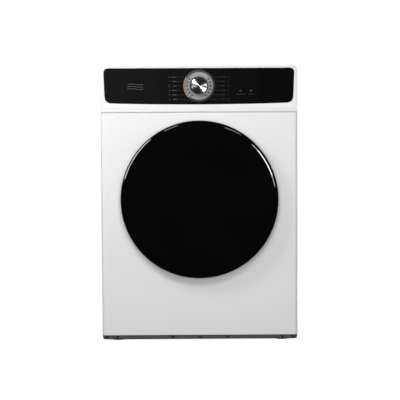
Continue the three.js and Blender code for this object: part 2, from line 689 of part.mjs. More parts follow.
const drum = group(0, 0, DRUM_Z);
piece(drum, "drum_shell", turned(SHELL, BIG + 8), STAINLESS);
piece(drum, "drum_rear_wall", drumRearWall(), STAINLESS);
piece(drum, "drum_shaft", turned(SHAFT, MEDIUM), STEEL);
around(3, 60).forEach((angle, i) => piece(drum, `lifter_${i + 1}`, lifter(angle), GREY_PLASTIC));
piece(drum, "front_drum_seal", tubeY(262, 280, -180.2, DRUM_FRONT - GAP, BIG), FELT);
piece(drum, "shaft_bush", tubeY(12.6, 18, 217, 246, SMALL + 6), BRONZE);
piece(drum, "heater_housing", heaterHousing(), GALVANISED);
piece(drum, "heater_element", heaterElement(), STEEL);

const drive = group();
piece(drive, "motor_body", onMotor(MOTOR, MEDIUM), ALUMINIUM);
piece(drive, "motor_bracket", motorBracket(), GALVANISED);
piece(drive, "motor_shaft", rodY(6, -152, 116, SMALL, MOTOR_X, MOTOR_Z), STEEL);
piece(drive, "motor_pulley", onMotor(grooved(6.4, PULLEY_R, 13), MEDIUM - 6), STEEL);
piece(drive, "blower_impeller", impeller().translate(MOTOR_X, 0, MOTOR_Z), WHITE_PLASTIC);
piece(drive, "drive_belt", driveBelt(), RUBBER);
piece(drive, "idler_arm", idlerArm(), GALVANISED);
const idlerPulley = turned(grooved(4.2, IDLER.r, 17), MEDIUM - 6, IDLER.x, IDLER.z);
piece(drive, "idler_pulley", idlerPulley, STEEL);
piece(drive, "idler_spring", idlerSpring(), STEEL);
for (const [name, side] of [["support_roller_left", -1], ["support_roller_right", 1]]) {
  piece(drive, name, tubeY(5.6, ROLLER_R, -160, -140, MEDIUM, ...rollerPlace(side)), RUBBER);
}

const air = group();
piece(air, "filter_duct", filterDuct(), GREY_PLASTIC);
piece(air, "filter_duct_cover", filterDuctCover(), GREY_PLASTIC);
piece(air, "lint_filter", lintFilter(), BLACK_PLASTIC);
piece(air, "blower_housing", blowerHousing(), GREY_PLASTIC);
piece(air, "exhaust_duct", tubeY(44.6, 46, -123.6, 258, MEDIUM, VENT_X, VENT_Z), GALVANISED);
piece(air, "vent_collar", turned(COLLAR, MEDIUM, VENT_X, VENT_Z), WHITE_PLASTIC);

const feet = group();
const FOOT_NAMES = ["foot_front_left", "foot_front_right", "foot_rear_left", "foot_rear_right"];
footPlaces().forEach(([x, y], i) => piece(feet, FOOT_NAMES[i], foot(x, y), BLACK_PLASTIC));

export default root;
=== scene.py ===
"""The looks of a vented front-loading clothes dryer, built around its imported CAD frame.

Outlines are in millimetres in the row frame: x to the right, y towards the back, z up, floor at 0.
"""
import json
import math

import bmesh
import bpy
from mathutils import Matrix, Vector

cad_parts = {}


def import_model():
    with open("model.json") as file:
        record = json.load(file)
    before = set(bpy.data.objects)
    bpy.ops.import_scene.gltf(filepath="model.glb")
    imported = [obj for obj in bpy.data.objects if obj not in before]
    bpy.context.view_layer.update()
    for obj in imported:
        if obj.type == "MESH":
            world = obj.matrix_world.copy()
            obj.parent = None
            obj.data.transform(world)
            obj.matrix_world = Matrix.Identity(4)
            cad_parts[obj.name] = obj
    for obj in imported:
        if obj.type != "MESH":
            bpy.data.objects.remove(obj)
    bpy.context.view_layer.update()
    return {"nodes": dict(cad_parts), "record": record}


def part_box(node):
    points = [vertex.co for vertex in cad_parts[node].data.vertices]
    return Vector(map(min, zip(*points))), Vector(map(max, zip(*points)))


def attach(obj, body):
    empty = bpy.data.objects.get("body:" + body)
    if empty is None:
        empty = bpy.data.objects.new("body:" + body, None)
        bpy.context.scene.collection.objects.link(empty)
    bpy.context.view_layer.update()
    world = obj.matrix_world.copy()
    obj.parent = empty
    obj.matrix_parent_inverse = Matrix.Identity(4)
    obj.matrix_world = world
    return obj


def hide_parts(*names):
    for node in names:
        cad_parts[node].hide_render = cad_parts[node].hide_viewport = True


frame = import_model()
NODES = frame["nodes"]
MM = 0.001
TAU = 2 * math.pi


def span(node):
    """A CAD node's lowest and highest corner, in millimetres."""
    low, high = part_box(node)
    return low / MM, high / MM


# Driving dimensions, taken from the frame

PANEL_LOW, PANEL_HIGH = span("front_panel")
CONSOLE_LOW, CONSOLE_HIGH = span("console_frame")
FASCIA_LOW, FASCIA_HIGH = span("console_fascia")
RIM_LOW, RIM_HIGH = span("dial_rim")
RING_LOW, RING_HIGH = span("door_ring")
COVER_LOW, COVER_HIGH = span("door_cover")
WELL_LOW, WELL_HIGH = span("door_well")
SHELL_LOW, SHELL_HIGH = span("drum_shell")
COLLAR_LOW, COLLAR_HIGH = span("vent_collar")
INLET_LOW, INLET_HIGH = span("cable_inlet")
TRAY_LOW, TRAY_HIGH = span("base_tray")
REAR_LOW, REAR_HIGH = span("rear_panel")
TOP_LOW, TOP_HIGH = span("worktop")

HALF = PANEL_HIGH.x
FRONT = PANEL_LOW.y
SHEET = REAR_HIGH.y - REAR_LOW.y
DIAL_Z = (RIM_LOW.z + RIM_HIGH.z) / 2
DOOR_Z = (RING_LOW.z + RING_HIGH.z) / 2
DOOR_R = (RING_HIGH.z - RING_LOW.z) / 2
DRUM_Z = (SHELL_LOW.z + SHELL_HIGH.z) / 2
DRUM_R = (SHELL_HIGH.z - SHELL_LOW.z) / 2
VENT_X = (COLLAR_LOW.x + COLLAR_HIGH.x) / 2
VENT_Z = (COLLAR_LOW.z + COLLAR_HIGH.z) / 2
INLET_X = (INLET_LOW.x + INLET_HIGH.x) / 2
INLET_Z = (INLET_LOW.z + INLET_HIGH.z) / 2

# Dimensions that no node's box shows, in millimetres

PANEL_CORNER_R = 12  # rolled side edges of the front panel
TOP_CORNER_R = 18  # upper corners of console and worktop
PORT_R = 206  # hole in the front panel
WELL_R = 190  # clear radius of the door well
FUNNEL_R = 205  # wide front end of the door well
HINGE_HALF = 33  # half height of the hinge's cut-outs
GRIP_ANGLE = -25  # degrees from the door's right-hand side, downwards
COLLAR_R = 50  # outside of the outlet collar
DIAL_HOLE_R = 43
PRINT_DEPTH = 0.12  # how far printed marks stand out


# Materials


def new_material(name, colour, roughness, metallic=0.0):
    made = bpy.data.materials.new(name)
    made.use_nodes = True
    shader = made.node_tree.nodes["Principled BSDF"]
    shader.inputs["Base Color"].default_value = (*colour, 1)
    shader.inputs["Roughness"].default_value = roughness
    shader.inputs["Metallic"].default_value = metallic
    return made


def shader_of(material):
    return material.node_tree.nodes["Principled BSDF"]


def add(material, kind, **settings):
    made = material.node_tree.nodes.new(kind)
    for key, value in settings.items():
        setattr(made, key, value)
    return made


def link(material, source, target):
    material.node_tree.links.new(source, target)


def placed(material, stretch=(1, 1, 1), centre=(0, 0, 0)):
    """Object coordinates about a centre in millimetres, stretched along each axis."""
    coords = add(material, "ShaderNodeTexCoord")
    mapping = add(material, "ShaderNodeMapping", vector_type="POINT")
    mapping.inputs["Scale"].default_value = stretch
    mapping.inputs["Location"].default_value = [-c * MM * s for c, s in zip(centre, stretch)]
    link(material, coords.outputs["Object"], mapping.inputs["Vector"])
    return mapping.outputs["Vector"]


def noise(material, scale, detail=2.0, stretch=(1, 1, 1)):
    texture = add(material, "ShaderNodeTexNoise")
    texture.inputs["Scale"].default_value = scale
    texture.inputs["Detail"].default_value = detail
    link(material, placed(material, stretch), texture.inputs["Vector"])
    return texture.outputs["Fac"]


def between(material, factor, low, high, start=0.3, end=0.7):
    ramp = add(material, "ShaderNodeMapRange")
    for key, value in (("From Min", start), ("From Max", end), ("To Min", low), ("To Max", high)):
        ramp.inputs[key].default_value = value
    link(material, factor, ramp.inputs["Value"])
    return ramp.outputs["Result"]


def vary_roughness(material, factor, low, high):
    link(material, between(material, factor, low, high), shader_of(material).inputs["Roughness"])


def vary_colour(material, factor, dark, light, start=0.3, end=0.7):
    ramp = add(material, "ShaderNodeValToRGB")
    ramp.color_ramp.elements[0].position = start
    ramp.color_ramp.elements[0].color = (*dark, 1)
    ramp.color_ramp.elements[1].position = end
    ramp.color_ramp.elements[1].color = (*light, 1)
    link(material, factor, ramp.inputs["Fac"])
    link(material, ramp.outputs["Color"], shader_of(material).inputs["Base Color"])


def bump(material, factor, depth_mm, strength=0.3):
    made = add(material, "ShaderNodeBump")
    made.inputs["Strength"].default_value = strength
    made.inputs["Distance"].default_value = depth_mm * MM
    link(material, factor, made.inputs["Height"])
    link(material, made.outputs["Normal"], shader_of(material).inputs["Normal"])
    return made


def white_paint():
    made = new_material("white_paint", (0.86, 0.865, 0.865), 0.3)
    vary_colour(made, noise(made, 5), (0.858, 0.862, 0.863), (0.868, 0.872, 0.872))
    vary_roughness(made, noise(made, 60, 4), 0.28, 0.33)
    bump(made, noise(made, 420, 1), 0.05, 0.12)
    shader_of(made).inputs["Coat Weight"].default_value = 0.35
    shader_of(made).inputs["Coat Roughness"].default_value = 0.12
    return made


def white_plastic():
    made = new_material("white_plastic", (0.86, 0.863, 0.86), 0.36)
    vary_colour(made, noise(made, 6), (0.86, 0.863, 0.86), (0.87, 0.873, 0.87))
    vary_roughness(made, noise(made, 14, 4), 0.3, 0.42)
    bump(made, noise(made, 1500, 2), 0.02, 0.15)
    return made


def moulded(name, dark, light, rough_low, rough_high, grain=1300, metallic=0.0):
    made = new_material(name, light, rough_high, metallic)
    vary_colour(made, noise(made, 22, 5), dark, light)
    vary_roughness(made, noise(made, 60, 4), rough_low, rough_high)
    bump(made, noise(made, grain, 3), 0.05, 0.35)
    return made


def black_gloss():
    made = new_material("black_gloss", (0.0012, 0.0012, 0.0014), 0.05)
    vary_colour(made, noise(made, 9, 3), (0.0009, 0.0009, 0.0011), (0.0014, 0.0014, 0.0016))
    vary_roughness(made, noise(made, 90, 5), 0.04, 0.07)
    bump(made, noise(made, 900, 2), 0.004, 0.03)
    shader_of(made).inputs["Coat Weight"].default_value = 0.5
    shader_of(made).inputs["Coat Roughness"].default_value = 0.03
    return made


def galvanised():
    made = new_material("galvanised", (0.6, 0.62, 0.63), 0.42, 0.4)
    spangle = add(made, "ShaderNodeTexVoronoi", distance="MANHATTAN")
    spangle.inputs["Scale"].default_value = 140
    link(made, placed(made), spangle.inputs["Vector"])
    grey = add(made, "ShaderNodeSeparateColor")
    link(made, spangle.outputs["Color"], grey.inputs["Color"])
    vary_colour(made, grey.outputs["Red"], (0.5, 0.515, 0.525), (0.57, 0.585, 0.595), 0, 1)
    vary_roughness(made, grey.outputs["Green"], 0.34, 0.5)
    bump(made, noise(made, 300, 3), 0.05, 0.2)
    return made


def brushed(name, colour, stretch, rough=(0.22, 0.36), metallic=0.45):
    made = new_material(name, colour, rough[1], metallic)
    lines = noise(made, 60, 4, stretch)
    vary_colour(made, lines, tuple(0.94 * c for c in colour), colour)
    vary_roughness(made, lines, *rough)
    bump(made, lines, 0.03, 0.18)
    return made


def rings(material, centre, spacing_mm, distortion=0.6):
    """Fine rings about an axis along y."""
    wave = add(material, "ShaderNodeTexWave", wave_type="RINGS", rings_direction="Y")
    wave.inputs["Scale"].default_value = 0.31 / (spacing_mm * MM)
    wave.inputs["Distortion"].default_value = distortion
    wave.inputs["Detail"].default_value = 3
    link(material, placed(material, (1, 1, 1), centre), wave.inputs["Vector"])
    return wave.outputs["Fac"]


def turned_metal(name, colour, rough, centre, spacing_mm, anisotropy, metallic=1.0):
    """Metal turned on a lathe about an axis along y, with a stretched highlight."""
    made = new_material(name, colour, rough[1], metallic)
    lines = rings(made, centre, spacing_mm)
    vary_colour(made, lines, tuple(0.9 * c for c in colour), colour, 0, 1)
    vary_roughness(made, lines, *rough)
    bump(made, lines, 0.012, 0.25)
    shader_of(made).inputs["Anisotropic"].default_value = anisotropy
    shader_of(made).inputs["Anisotropic Rotation"].default_value = 0.25
    tangent = add(made, "ShaderNodeTangent", direction_type="RADIAL", axis="Y")
    link(made, tangent.outputs["Tangent"], shader_of(made).inputs["Tangent"])
    return made


def felt():
    made = new_material("felt", (0.42, 0.4, 0.35), 0.95)
    vary_colour(made, noise(made, 260, 6), (0.3, 0.285, 0.25), (0.52, 0.5, 0.44))
    bump(made, noise(made, 900, 8, (1, 3, 1)), 0.8, 0.8)
    shader_of(made).inputs["Sheen Weight"].default_value = 0.5
    return made


def board():
    made = new_material("board", (0.03, 0.16, 0.07), 0.4)
    tracks = add(made, "ShaderNodeTexBrick")
    tracks.inputs["Scale"].default_value = 160
    tracks.inputs["Mortar Size"].default_value = 0.03
    tracks.inputs["Color1"].default_value = (0.02, 0.13, 0.05, 1)
    tracks.inputs["Color2"].default_value = (0.025, 0.16, 0.06, 1)
    tracks.inputs["Mortar"].default_value = (0.08, 0.3, 0.12, 1)
    link(made, placed(made), tracks.inputs["Vector"])
    link(made, tracks.outputs["Color"], shader_of(made).inputs["Base Color"])
    bump(made, tracks.outputs["Fac"], 0.05, 0.4)
    return made


DIAL_CENTRE = (0, 0, DIAL_Z)
MATERIALS = {
    "white_paint": white_paint(),
    "white_plastic": white_plastic(),
    "grey_plastic": moulded("grey_plastic", (0.23, 0.235, 0.245), (0.29, 0.295, 0.3), 0.4, 0.55),
    "black_gloss": black_gloss(),
    "black_plastic": moulded("black_plastic", (0.018, 0.0185, 0.02), (0.03, 0.031, 0.033), 0.36, 0.52),
    "galvanised": galvanised(),
    "stainless": brushed("stainless", (0.66, 0.67, 0.68), (0.4, 30, 0.4)),
    "steel": brushed("steel", (0.5, 0.51, 0.52), (6, 6, 0.5), (0.28, 0.45)),
    "chrome": turned_metal("chrome", (0.3, 0.3, 0.31), (0.1, 0.16), DIAL_CENTRE, 0.5, 0.3, 0.75),
    "satin": turned_metal("satin", (0.5, 0.5, 0.51), (0.4, 0.5), DIAL_CENTRE, 0.4, 0.5, 0.3),
    "aluminium": moulded("aluminium", (0.42, 0.43, 0.44), (0.56, 0.57, 0.58), 0.4, 0.6, 700, 0.9),
    "bronze": moulded("bronze", (0.38, 0.24, 0.11), (0.55, 0.38, 0.2), 0.35, 0.5, 900, 1.0),
    "rubber": moulded("rubber", (0.012, 0.012, 0.012), (0.03, 0.03, 0.03), 0.6, 0.85, 1000),
    "felt": felt(),
    "board": board(),
}
SPUN = turned_metal("spun_steel", (0.74, 0.74, 0.75), (0.42, 0.5), DIAL_CENTRE, 0.35, 1.0)
PRINT_PALE = moulded("print_pale", (0.1, 0.102, 0.105), (0.13, 0.132, 0.135), 0.4, 0.5)
PRINT_DIM = moulded("print_dim", (0.045, 0.046, 0.048), (0.06, 0.061, 0.063), 0.4, 0.5)
DRUM_END = turned_metal("drum_end", (0.62, 0.63, 0.64), (0.3, 0.4), (0, 0, DRUM_Z), 1.5, 0.3, 0.45)
TRAY_STEEL = moulded("tray_steel", (0.1, 0.101, 0.103), (0.14, 0.141, 0.143), 0.4, 0.55, 700, 0.25)
WINDOW_DARK = moulded("window_dark", (0.003, 0.003, 0.004), (0.006, 0.006, 0.007), 0.3, 0.4)


# Mesh helpers


def rounded(corners, steps=5):
    """A closed outline. A corner given as (a, b, radius) becomes an arc."""
    outline = []
    for i, corner in enumerate(corners):
        here = Vector(corner[:2])
        if len(corner) < 3 or corner[2] <= 0:
            outline.append(here)
            continue
        back = Vector(corners[i - 1][:2]) - here
        on = Vector(corners[(i + 1) % len(corners)][:2]) - here
        half = back.angle(on) / 2
        reach = min(corner[2] / math.tan(half), 0.49 * back.length, 0.49 * on.length)
        start, end = here + back.normalized() * reach, here + on.normalized() * reach
        centre = here + (back.normalized() + on.normalized()).normalized() * (reach / math.cos(half))
        radius = (start - centre).length
        first = math.atan2(start.y - centre.y, start.x - centre.x)
        turn = math.atan2(end.y - centre.y, end.x - centre.x) - first
        turn = (turn + math.pi) % TAU - math.pi
        for k in range(steps + 1):
            angle = first + turn * k / steps
            outline.append(centre + radius * Vector((math.cos(angle), math.sin(angle))))
    return outline


def box_outline(a0, a1, b0, b1, radius=0.0, steps=5):
    return rounded([(a0, b0, radius), (a1, b0, radius), (a1, b1, radius), (a0, b1, radius)], steps)


def in_scene(name, data):
    made = bpy.data.objects.new(name, data)
    bpy.context.scene.collection.objects.link(made)
    return made


def as_object(name, bm, outward=True):
    """Ends a bmesh as an object, with its normals turned outward unless the parts are already right."""
    if outward:
        bmesh.ops.recalc_face_normals(bm, faces=bm.faces)
    mesh = bpy.data.meshes.new(name)
    bm.to_mesh(mesh)
    bm.free()
    return in_scene(name, mesh)


def bridge(bm, ring, after):
    """Faces between two closed rings of points. A ring of one point is a pole."""
    count = max(len(ring), len(after))
    if count == 1:
        return
    for i in range(count):
        j = (i + 1) % count
        corners = [ring[i % len(ring)], ring[j % len(ring)], after[j % len(after)], after[i % len(after)]]
        bm.faces.new(list(dict.fromkeys(corners)))


def lathe(name, outline, x=0.0, z=0.0, sides=160):
    """A closed outline of (radius, y) turned about the y axis through (x, z)."""
    bm = bmesh.new()
    made = []
    for r, y in outline:
        count = sides if r > 0.01 else 1
        angles = [TAU * k / sides for k in range(count)]
        made.append([
            bm.verts.new(Vector((x + r * math.cos(a), y, z + r * math.sin(a))) * MM) for a in angles])
    for ring, after in zip(made, made[1:] + made[:1]):
        bridge(bm, ring, after)
    return as_object(name, bm)


PLANES = {
    "x": lambda a, b, depth: Vector((depth, a, b)),
    "y": lambda a, b, depth: Vector((a, depth, b)),
    "z": lambda a, b, depth: Vector((a, b, depth)),
}


def slab(name, outline, start, end, axis="y"):
    """A closed outline made solid along an axis."""
    bm = bmesh.new()
    place = PLANES[axis]
    ends = [[bm.verts.new(place(a, b, depth) * MM) for a, b in outline] for depth in (start, end)]
    bridge(bm, *ends)
    for ring in ends:
        bm.faces.new(ring)
    return as_object(name, bm)


def block(name, x0, x1, y0, y1, z0, z1):
    return slab(name, box_outline(x0, x1, y0, y1), z0, z1, "z")


def drill(r, y0, y1, x, z, sides=48):
    """A cylinder along y that cuts a round hole."""
    return lathe("drill", [(0, y0), (r, y0), (r, y1), (0, y1)], x, z, sides)


def loft(name, rings, ends=()):
    """Faces between closed rings of points in metres, and across the rings named in ends."""
    bm = bmesh.new()
    made = [[bm.verts.new(point) for point in ring] for ring in rings]
    for ring, after in zip(made, made[1:]):
        bridge(bm, ring, after)
    for end in ends:
        bm.faces.new(made[end])
    return as_object(name, bm)


def settle(piece):
    """Applies a piece's modifiers."""
    graph = bpy.context.evaluated_depsgraph_get()
    mesh = bpy.data.meshes.new_from_object(piece.evaluated_get(graph))
    piece.modifiers.clear()
    piece.data = mesh
    return piece


def thicken(piece, thickness, offset):
    """Makes a surface into sheet, in millimetres. Offset -1 grows it inwards and 0 both ways."""
    wall = piece.modifiers.new("sheet", "SOLIDIFY")
    wall.thickness, wall.offset = thickness * MM, offset
    return piece


def carve(piece, *tools):
    for tool in tools:
        cutter = piece.modifiers.new("cut", "BOOLEAN")
        cutter.operation, cutter.solver, cutter.object = "DIFFERENCE", "EXACT", tool
    settle(piece)
    for tool in tools:
        bpy.data.objects.remove(tool)
    return piece


def merge(name, pieces):
    """Joins pieces into one mesh."""
    bm = bmesh.new()
    for piece in pieces:
        mesh = settle(piece).data.copy()
        mesh.transform(piece.matrix_world)
        bm.from_mesh(mesh)
        bpy.data.objects.remove(piece)
    return as_object(name, bm, outward=False)


def soften(piece, width_mm, segments=3):
    edge = piece.modifiers.new("edges", "BEVEL")
    edge.width, edge.segments = width_mm * MM, segments
    edge.limit_method, edge.angle_limit = "ANGLE", math.radians(38)
    edge.harden_normals = True
    return piece


def smooth(piece, angle=32):
    piece.data.shade_smooth()
    piece.data.set_sharp_from_angle(angle=math.radians(angle))
    return piece


def fit(piece, body, slot, *nodes, material=None, angle=32):
    """Shades a piece, gives it its finish, and joins it to its body."""
    smooth(piece, angle)
    piece.data.materials.clear()
    piece.data.materials.append(material or MATERIALS[slot])
    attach(piece, body)
    if nodes:
        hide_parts(*nodes)
    return piece


def turned_about(piece, angle_deg, x=0.0, z=0.0):
    """Turns a mesh about a y axis through (x, z), in degrees counter-clockwise seen from the front."""
    pivot = Matrix.Translation(Vector((x, 0, z)) * MM)
    turn = Matrix.Rotation(math.radians(-angle_deg), 4, "Y")
    piece.data.transform(pivot @ turn @ pivot.inverted())
    return piece


def screw_head(x, y, z, radius=3.6, height=1.6):
    """A pan head with a six-lobed recess, seated on y and facing the back."""
    profile = [(radius, 0.0, 1), (0.96 * radius, 0.55 * height, 1), (0.72 * radius, 0.92 * height, 1),
               (0.5 * radius, height, 1), (0.44 * radius, 0.95 * height, 0.86),
               (0.42 * radius, 0.35 * height, 0.86), (0.0, 0.3 * height, 1)]
    sides = 24
    bm = bmesh.new()
    made = [[bm.verts.new((0, 0, 0))]]
    for r, rise, lobes in profile:
        ring = []
        for k in range(sides if r else 1):
            angle = TAU * k / sides
            reach = r * (lobes + (1 - lobes) * math.cos(6 * angle))
            point = Vector((reach * math.cos(angle), -rise, reach * math.sin(angle)))
            ring.append(bm.verts.new(point * MM))
        made.append(ring)
    for ring, after in zip(made, made[1:]):
        bridge(bm, ring, after)
    made = as_object("screw", bm)
    made.data.transform(Matrix.Rotation(math.pi, 4, "Z"))
    made.data.transform(Matrix.Translation(Vector((x, y, z)) * MM))
    return made


# Cabinet


def panel_section(inset):
    """The front panel's outer line from its left rear edge to its right rear edge, in x and y."""
    side, radius, back = HALF - inset, PANEL_CORNER_R - inset, PANEL_HIGH.y
    reach, steps = HALF - PANEL_CORNER_R, 12
    line = [(-side, back)]
    for centre, first in ((-reach, 180), (reach, 270)):
        for k in range(steps + 1):
            angle = math.radians(first + 90 * k / steps)
            y = FRONT + PANEL_CORNER_R + radius * math.sin(angle)
            line.append((centre + radius * math.cos(angle), y))
    return line + [(side, back)]


def front_panel():
    """Folded sheet with rolled sides and softly rolled upper and lower edges."""
    levels = []
    for z, radius, side in ((PANEL_LOW.z, 1.2, 1), (PANEL_HIGH.z, 1.8, -1)):
        turns = [math.radians(a) for a in range(90, -1, -15)]
        arc = [(z + side * radius * (1 - math.sin(a)), radius * (1 - math.cos(a))) for a in turns]
        levels += arc if side > 0 else arc[::-1]
    levels.append((PANEL_HIGH.z, 10.5))  # the rolled edge turns back here
    bm = bmesh.new()
    lines = [[bm.verts.new(Vector((x, y, z)) * MM) for x, y in panel_section(inset)]
             for z, inset in levels]
    for low, high in zip(lines, lines[1:]):
        for i in range(len(low) - 1):
            bm.faces.new((low[i], low[i + 1], high[i + 1], high[i]))
    made = settle(thicken(as_object("front_panel_skin", bm), SHEET, -1))
    hinge_x = (span("hinge_pin")[0].x + span("hinge_pin")[1].x) / 2
    y0, y1 = FRONT - 5, FRONT + 5
    port = drill(PORT_R, y0, y1, 0, DOOR_Z, 200)
    latch = block("latch_slot", 218.5, 230, y0, y1, DOOR_Z - 13, DOOR_Z + 13)
    lug_half, lug_height = 3.5, 13.2
    lugs = [block("lug_slot", hinge_x - lug_half, hinge_x + lug_half, y0, y1, z, z + lug_height)
            for z in (DOOR_Z + 17.4, DOOR_Z - 30.6)]
    carve(made, port, latch, *lugs)
    fit(soften(made, 0.3, 2), "cabinet", "white_paint", "front_panel")


def side_panel(side, node):
    """A sheet side with soft edges and one long pressed field."""
    low, high = span(node)
    outer = side * HALF

    def loop(inset, radius, depth):
        line = box_outline(low.y + inset, high.y - inset, low.z + inset, high.z - inset, radius, 8)
        return [Vector((outer - side * depth, y, z)) * MM for y, z in line]

    levels = [(0, 1.5, 1.4), (0, 1.5, 0.9), (0.35, 1.5, 0.3), (1.0, 1.5, 0.0),
              (58, 34, 0.0), (60, 33, 0.25), (63, 30, 1.15), (66, 28, 1.6), (68, 27, 1.7)]
    skin = loft(node + "_skin", [loop(*level) for level in levels], ends=(-1,))
    facing_out = skin.data.polygons[-1].normal.x * side > 0
    settle(thicken(skin, SHEET, -1 if facing_out else 1))
    lip, gap = 14, 0.2
    a, b = sorted((side * (HALF - lip), side * (HALF - SHEET - 0.1)))
    folds = [block("fold", a, b, y, y + SHEET, TRAY_HIGH.z + 2, high.z - 1)
             for y in (low.y + gap, high.y - SHEET - gap)]
    made = merge(node + "_panel", [skin, *folds])
    fit(made, "cabinet", "white_paint", node)


def upright_outline(half, z0, z1, upper, lower, steps=10):
    """A rectangle in x and z whose upper and lower corners have their own radius."""
    corners = [(-half, z0, lower), (half, z0, lower), (half, z1, upper), (-half, z1, upper)]
    return rounded(corners, steps)


def worktop():
    """A hollow top whose upper face carries a field inside a shallow groove."""
    y0, y1, z0, z1 = TOP_LOW.y, TOP_HIGH.y, TOP_LOW.z, TOP_HIGH.z
    wall, groove = 3, 1.4
    made = slab("worktop_shell", upright_outline(HALF, z0, z1, TOP_CORNER_R, 0.5), y0, y1)
    inside = upright_outline(HALF - wall, z0 - 30, z1 - wall, TOP_CORNER_R - wall, 0)
    hollow = slab("hollow", inside, y0 + wall, y1 - wall)

    def field(spare, radius):
        x, y = HALF - 26 - spare, 14 + spare
        return box_outline(-x, x, y0 + y, y1 - y, radius)

    outer = slab("groove", field(0, 8), z1 - 0.9, z1 + 2, "z")
    inner = slab("field", field(groove, 7), z1 - 2, z1 + 3, "z")
    carve(outer, inner)
    carve(made, hollow, outer)
    fit(soften(made, 0.9), "cabinet", "white_plastic", "worktop")


def louvre(x, z, length):
    """A hooded slot pressed out of the rear panel, made as a curved sheet with closed ends."""
    depth, height, taper, steps = 3.2, 9.5, 3.5, 6
    base = REAR_HIGH.y - 0.4
    bm = bmesh.new()
    rows = []
    for k in range(steps + 1):
        angle = math.radians(90 * k / steps)
        y, up = base + depth * math.sin(angle), z + height * math.cos(angle)
        reach = 1.5 - taper * math.sin(angle)
        rows.append([bm.verts.new(Vector((px, y, up)) * MM) for px in (x - reach, x + length + reach)])
    for low, high in zip(rows, rows[1:]):
        bm.faces.new((low[0], low[1], high[1], high[0]))
    for end in (0, 1):
        foot = bm.verts.new((rows[-1][end].co.x, base * MM, z * MM))
        fan = [row[end] for row in rows]
        for a, b in zip(fan, fan[1:]):
            bm.faces.new((foot, a, b))
    return thicken(as_object("louvre", bm), 0.7, 0)


def rear_panel():
    """Zinc-coated sheet with a pressed field, louvred slots and a row of fixing screws."""
    x0, x1, z0, z1 = REAR_LOW.x, REAR_HIGH.x, REAR_LOW.z, REAR_HIGH.z

    def loop(inset, radius, depth, floor=0.0):
        line = box_outline(x0 + inset, x1 - inset, z0 + inset + floor, z1 - inset, radius, 8)
        return [Vector((x, REAR_HIGH.y - depth, z)) * MM for x, z in line]

    levels = [(0, 2, 0), (34, 20, 0, 262), (36, 19, 0.3, 262), (39, 17, 1.6, 262), (41, 16, 1.9, 262),
              (150, 40, 1.9, 300), (152, 39, 1.6, 300), (155, 37, 0.3, 300), (157, 36, 0.0, 300)]
    plate = loft("rear_plate", [loop(*level) for level in levels], ends=(-1,))
    facing_out = plate.data.polygons[-1].normal.y > 0
    settle(thicken(plate, SHEET, -1 if facing_out else 1))
    y0, y1 = REAR_LOW.y - 5, REAR_HIGH.y + 5
    tools = [drill(COLLAR_R + 1, y0, y1, VENT_X, VENT_Z, 64), drill(9.6, y0, y1, INLET_X, INLET_Z, 64)]
    slots = [(-20 + 52 * column, 200 + 22 * row) for column in range(4) for row in range(3)]
    slot_length, slot_height = 40, 8
    tools += [slab("slot", box_outline(x, x + slot_length, z, z + slot_height, 3), y0, y1)
              for x, z in slots]
    carve(plate, *tools)
    plate = merge("rear_sheet", [plate, *(louvre(x, z, slot_length) for x, z in slots)])
    fit(plate, "cabinet", "galvanised", "rear_panel")
    edge = 9
    rows = [(x, z) for x in (x0 + edge, x1 - edge) for z in (30, 180, 330, 480, 630, 790)]
    rows += [(x, z1 - edge) for x in (-180, 0, 180)] + [(x, z0 + edge) for x in (-230, 0, 180)]
    heads = [screw_head(x, REAR_HIGH.y, z) for x, z in rows]
    fit(merge("rear_screws", heads), "cabinet", "steel")


def terminal_cover():
    """The screwed cover over the mains terminals, above the cable inlet."""
    y = REAR_HIGH.y
    outline = box_outline(INLET_X - 32, INLET_X + 32, INLET_Z - 26, INLET_Z + 34, 6)
    made = slab("terminal_lid", outline, y + 0.05, y + 1.7)
    carve(made, drill(16, y - 5, y + 9, INLET_X, INLET_Z))
    fit(soften(made, 0.5), "cabinet", "galvanised")
    heads = [screw_head(INLET_X + dx, y + 1.7, INLET_Z + 26, 3) for dx in (-24, 24)]
    fit(merge("terminal_screws", heads), "cabinet", "steel")


def vent_collar():
    y, end = REAR_HIGH.y + 0.3, COLLAR_HIGH.y
    inner, outer, flange = 46.5, COLLAR_R, 60
    outline = rounded([(inner, 258.4), (outer, 258.4), (outer, y), (flange, y, 0.5), (flange, y + 2, 1),
                       (outer, y + 2, 0.8), (outer, end - 5), (outer, end - 4.2, 0.4),
                       (outer, end - 3), (outer, end - 1, 0.8), (outer - 0.8, end, 0.7), (inner, end, 1)])
    made = lathe("vent_spigot", outline, VENT_X, VENT_Z, 128)
    fit(made, "cabinet", "white_plastic", "vent_collar")
    seat_r = 55.2
    turns = [math.radians(45 + 90 * k) for k in range(4)]
    heads = [screw_head(VENT_X + seat_r * math.cos(a), y + 2, VENT_Z + seat_r * math.sin(a), 2.8)
             for a in turns]
    fit(merge("vent_screws", heads), "cabinet", "steel")


def cable_inlet():
    """A ribbed bush for the mains cable."""
    y = REAR_HIGH.y + 0.3
    corners = [(5, 257, 0.5), (9, 257, 0.5), (9, y), (15, y, 0.4), (15, y + 2.2, 1), (10.4, y + 2.2, 0.6)]
    for k in range(3):
        base = y + 3.2 + 2.1 * k
        reach = 10.2 - 0.5 * k
        corners += [(reach, base, 0.2), (reach - 0.9, base + 0.5, 0.2), (reach - 0.9, base + 1.2, 0.2)]
    corners += [(8.6, INLET_HIGH.y, 0.6), (5, INLET_HIGH.y, 0.8)]
    made = lathe("cable_bush", rounded(corners, 3), INLET_X, INLET_Z, 64)
    fit(made, "cabinet", "black_plastic", "cable_inlet")


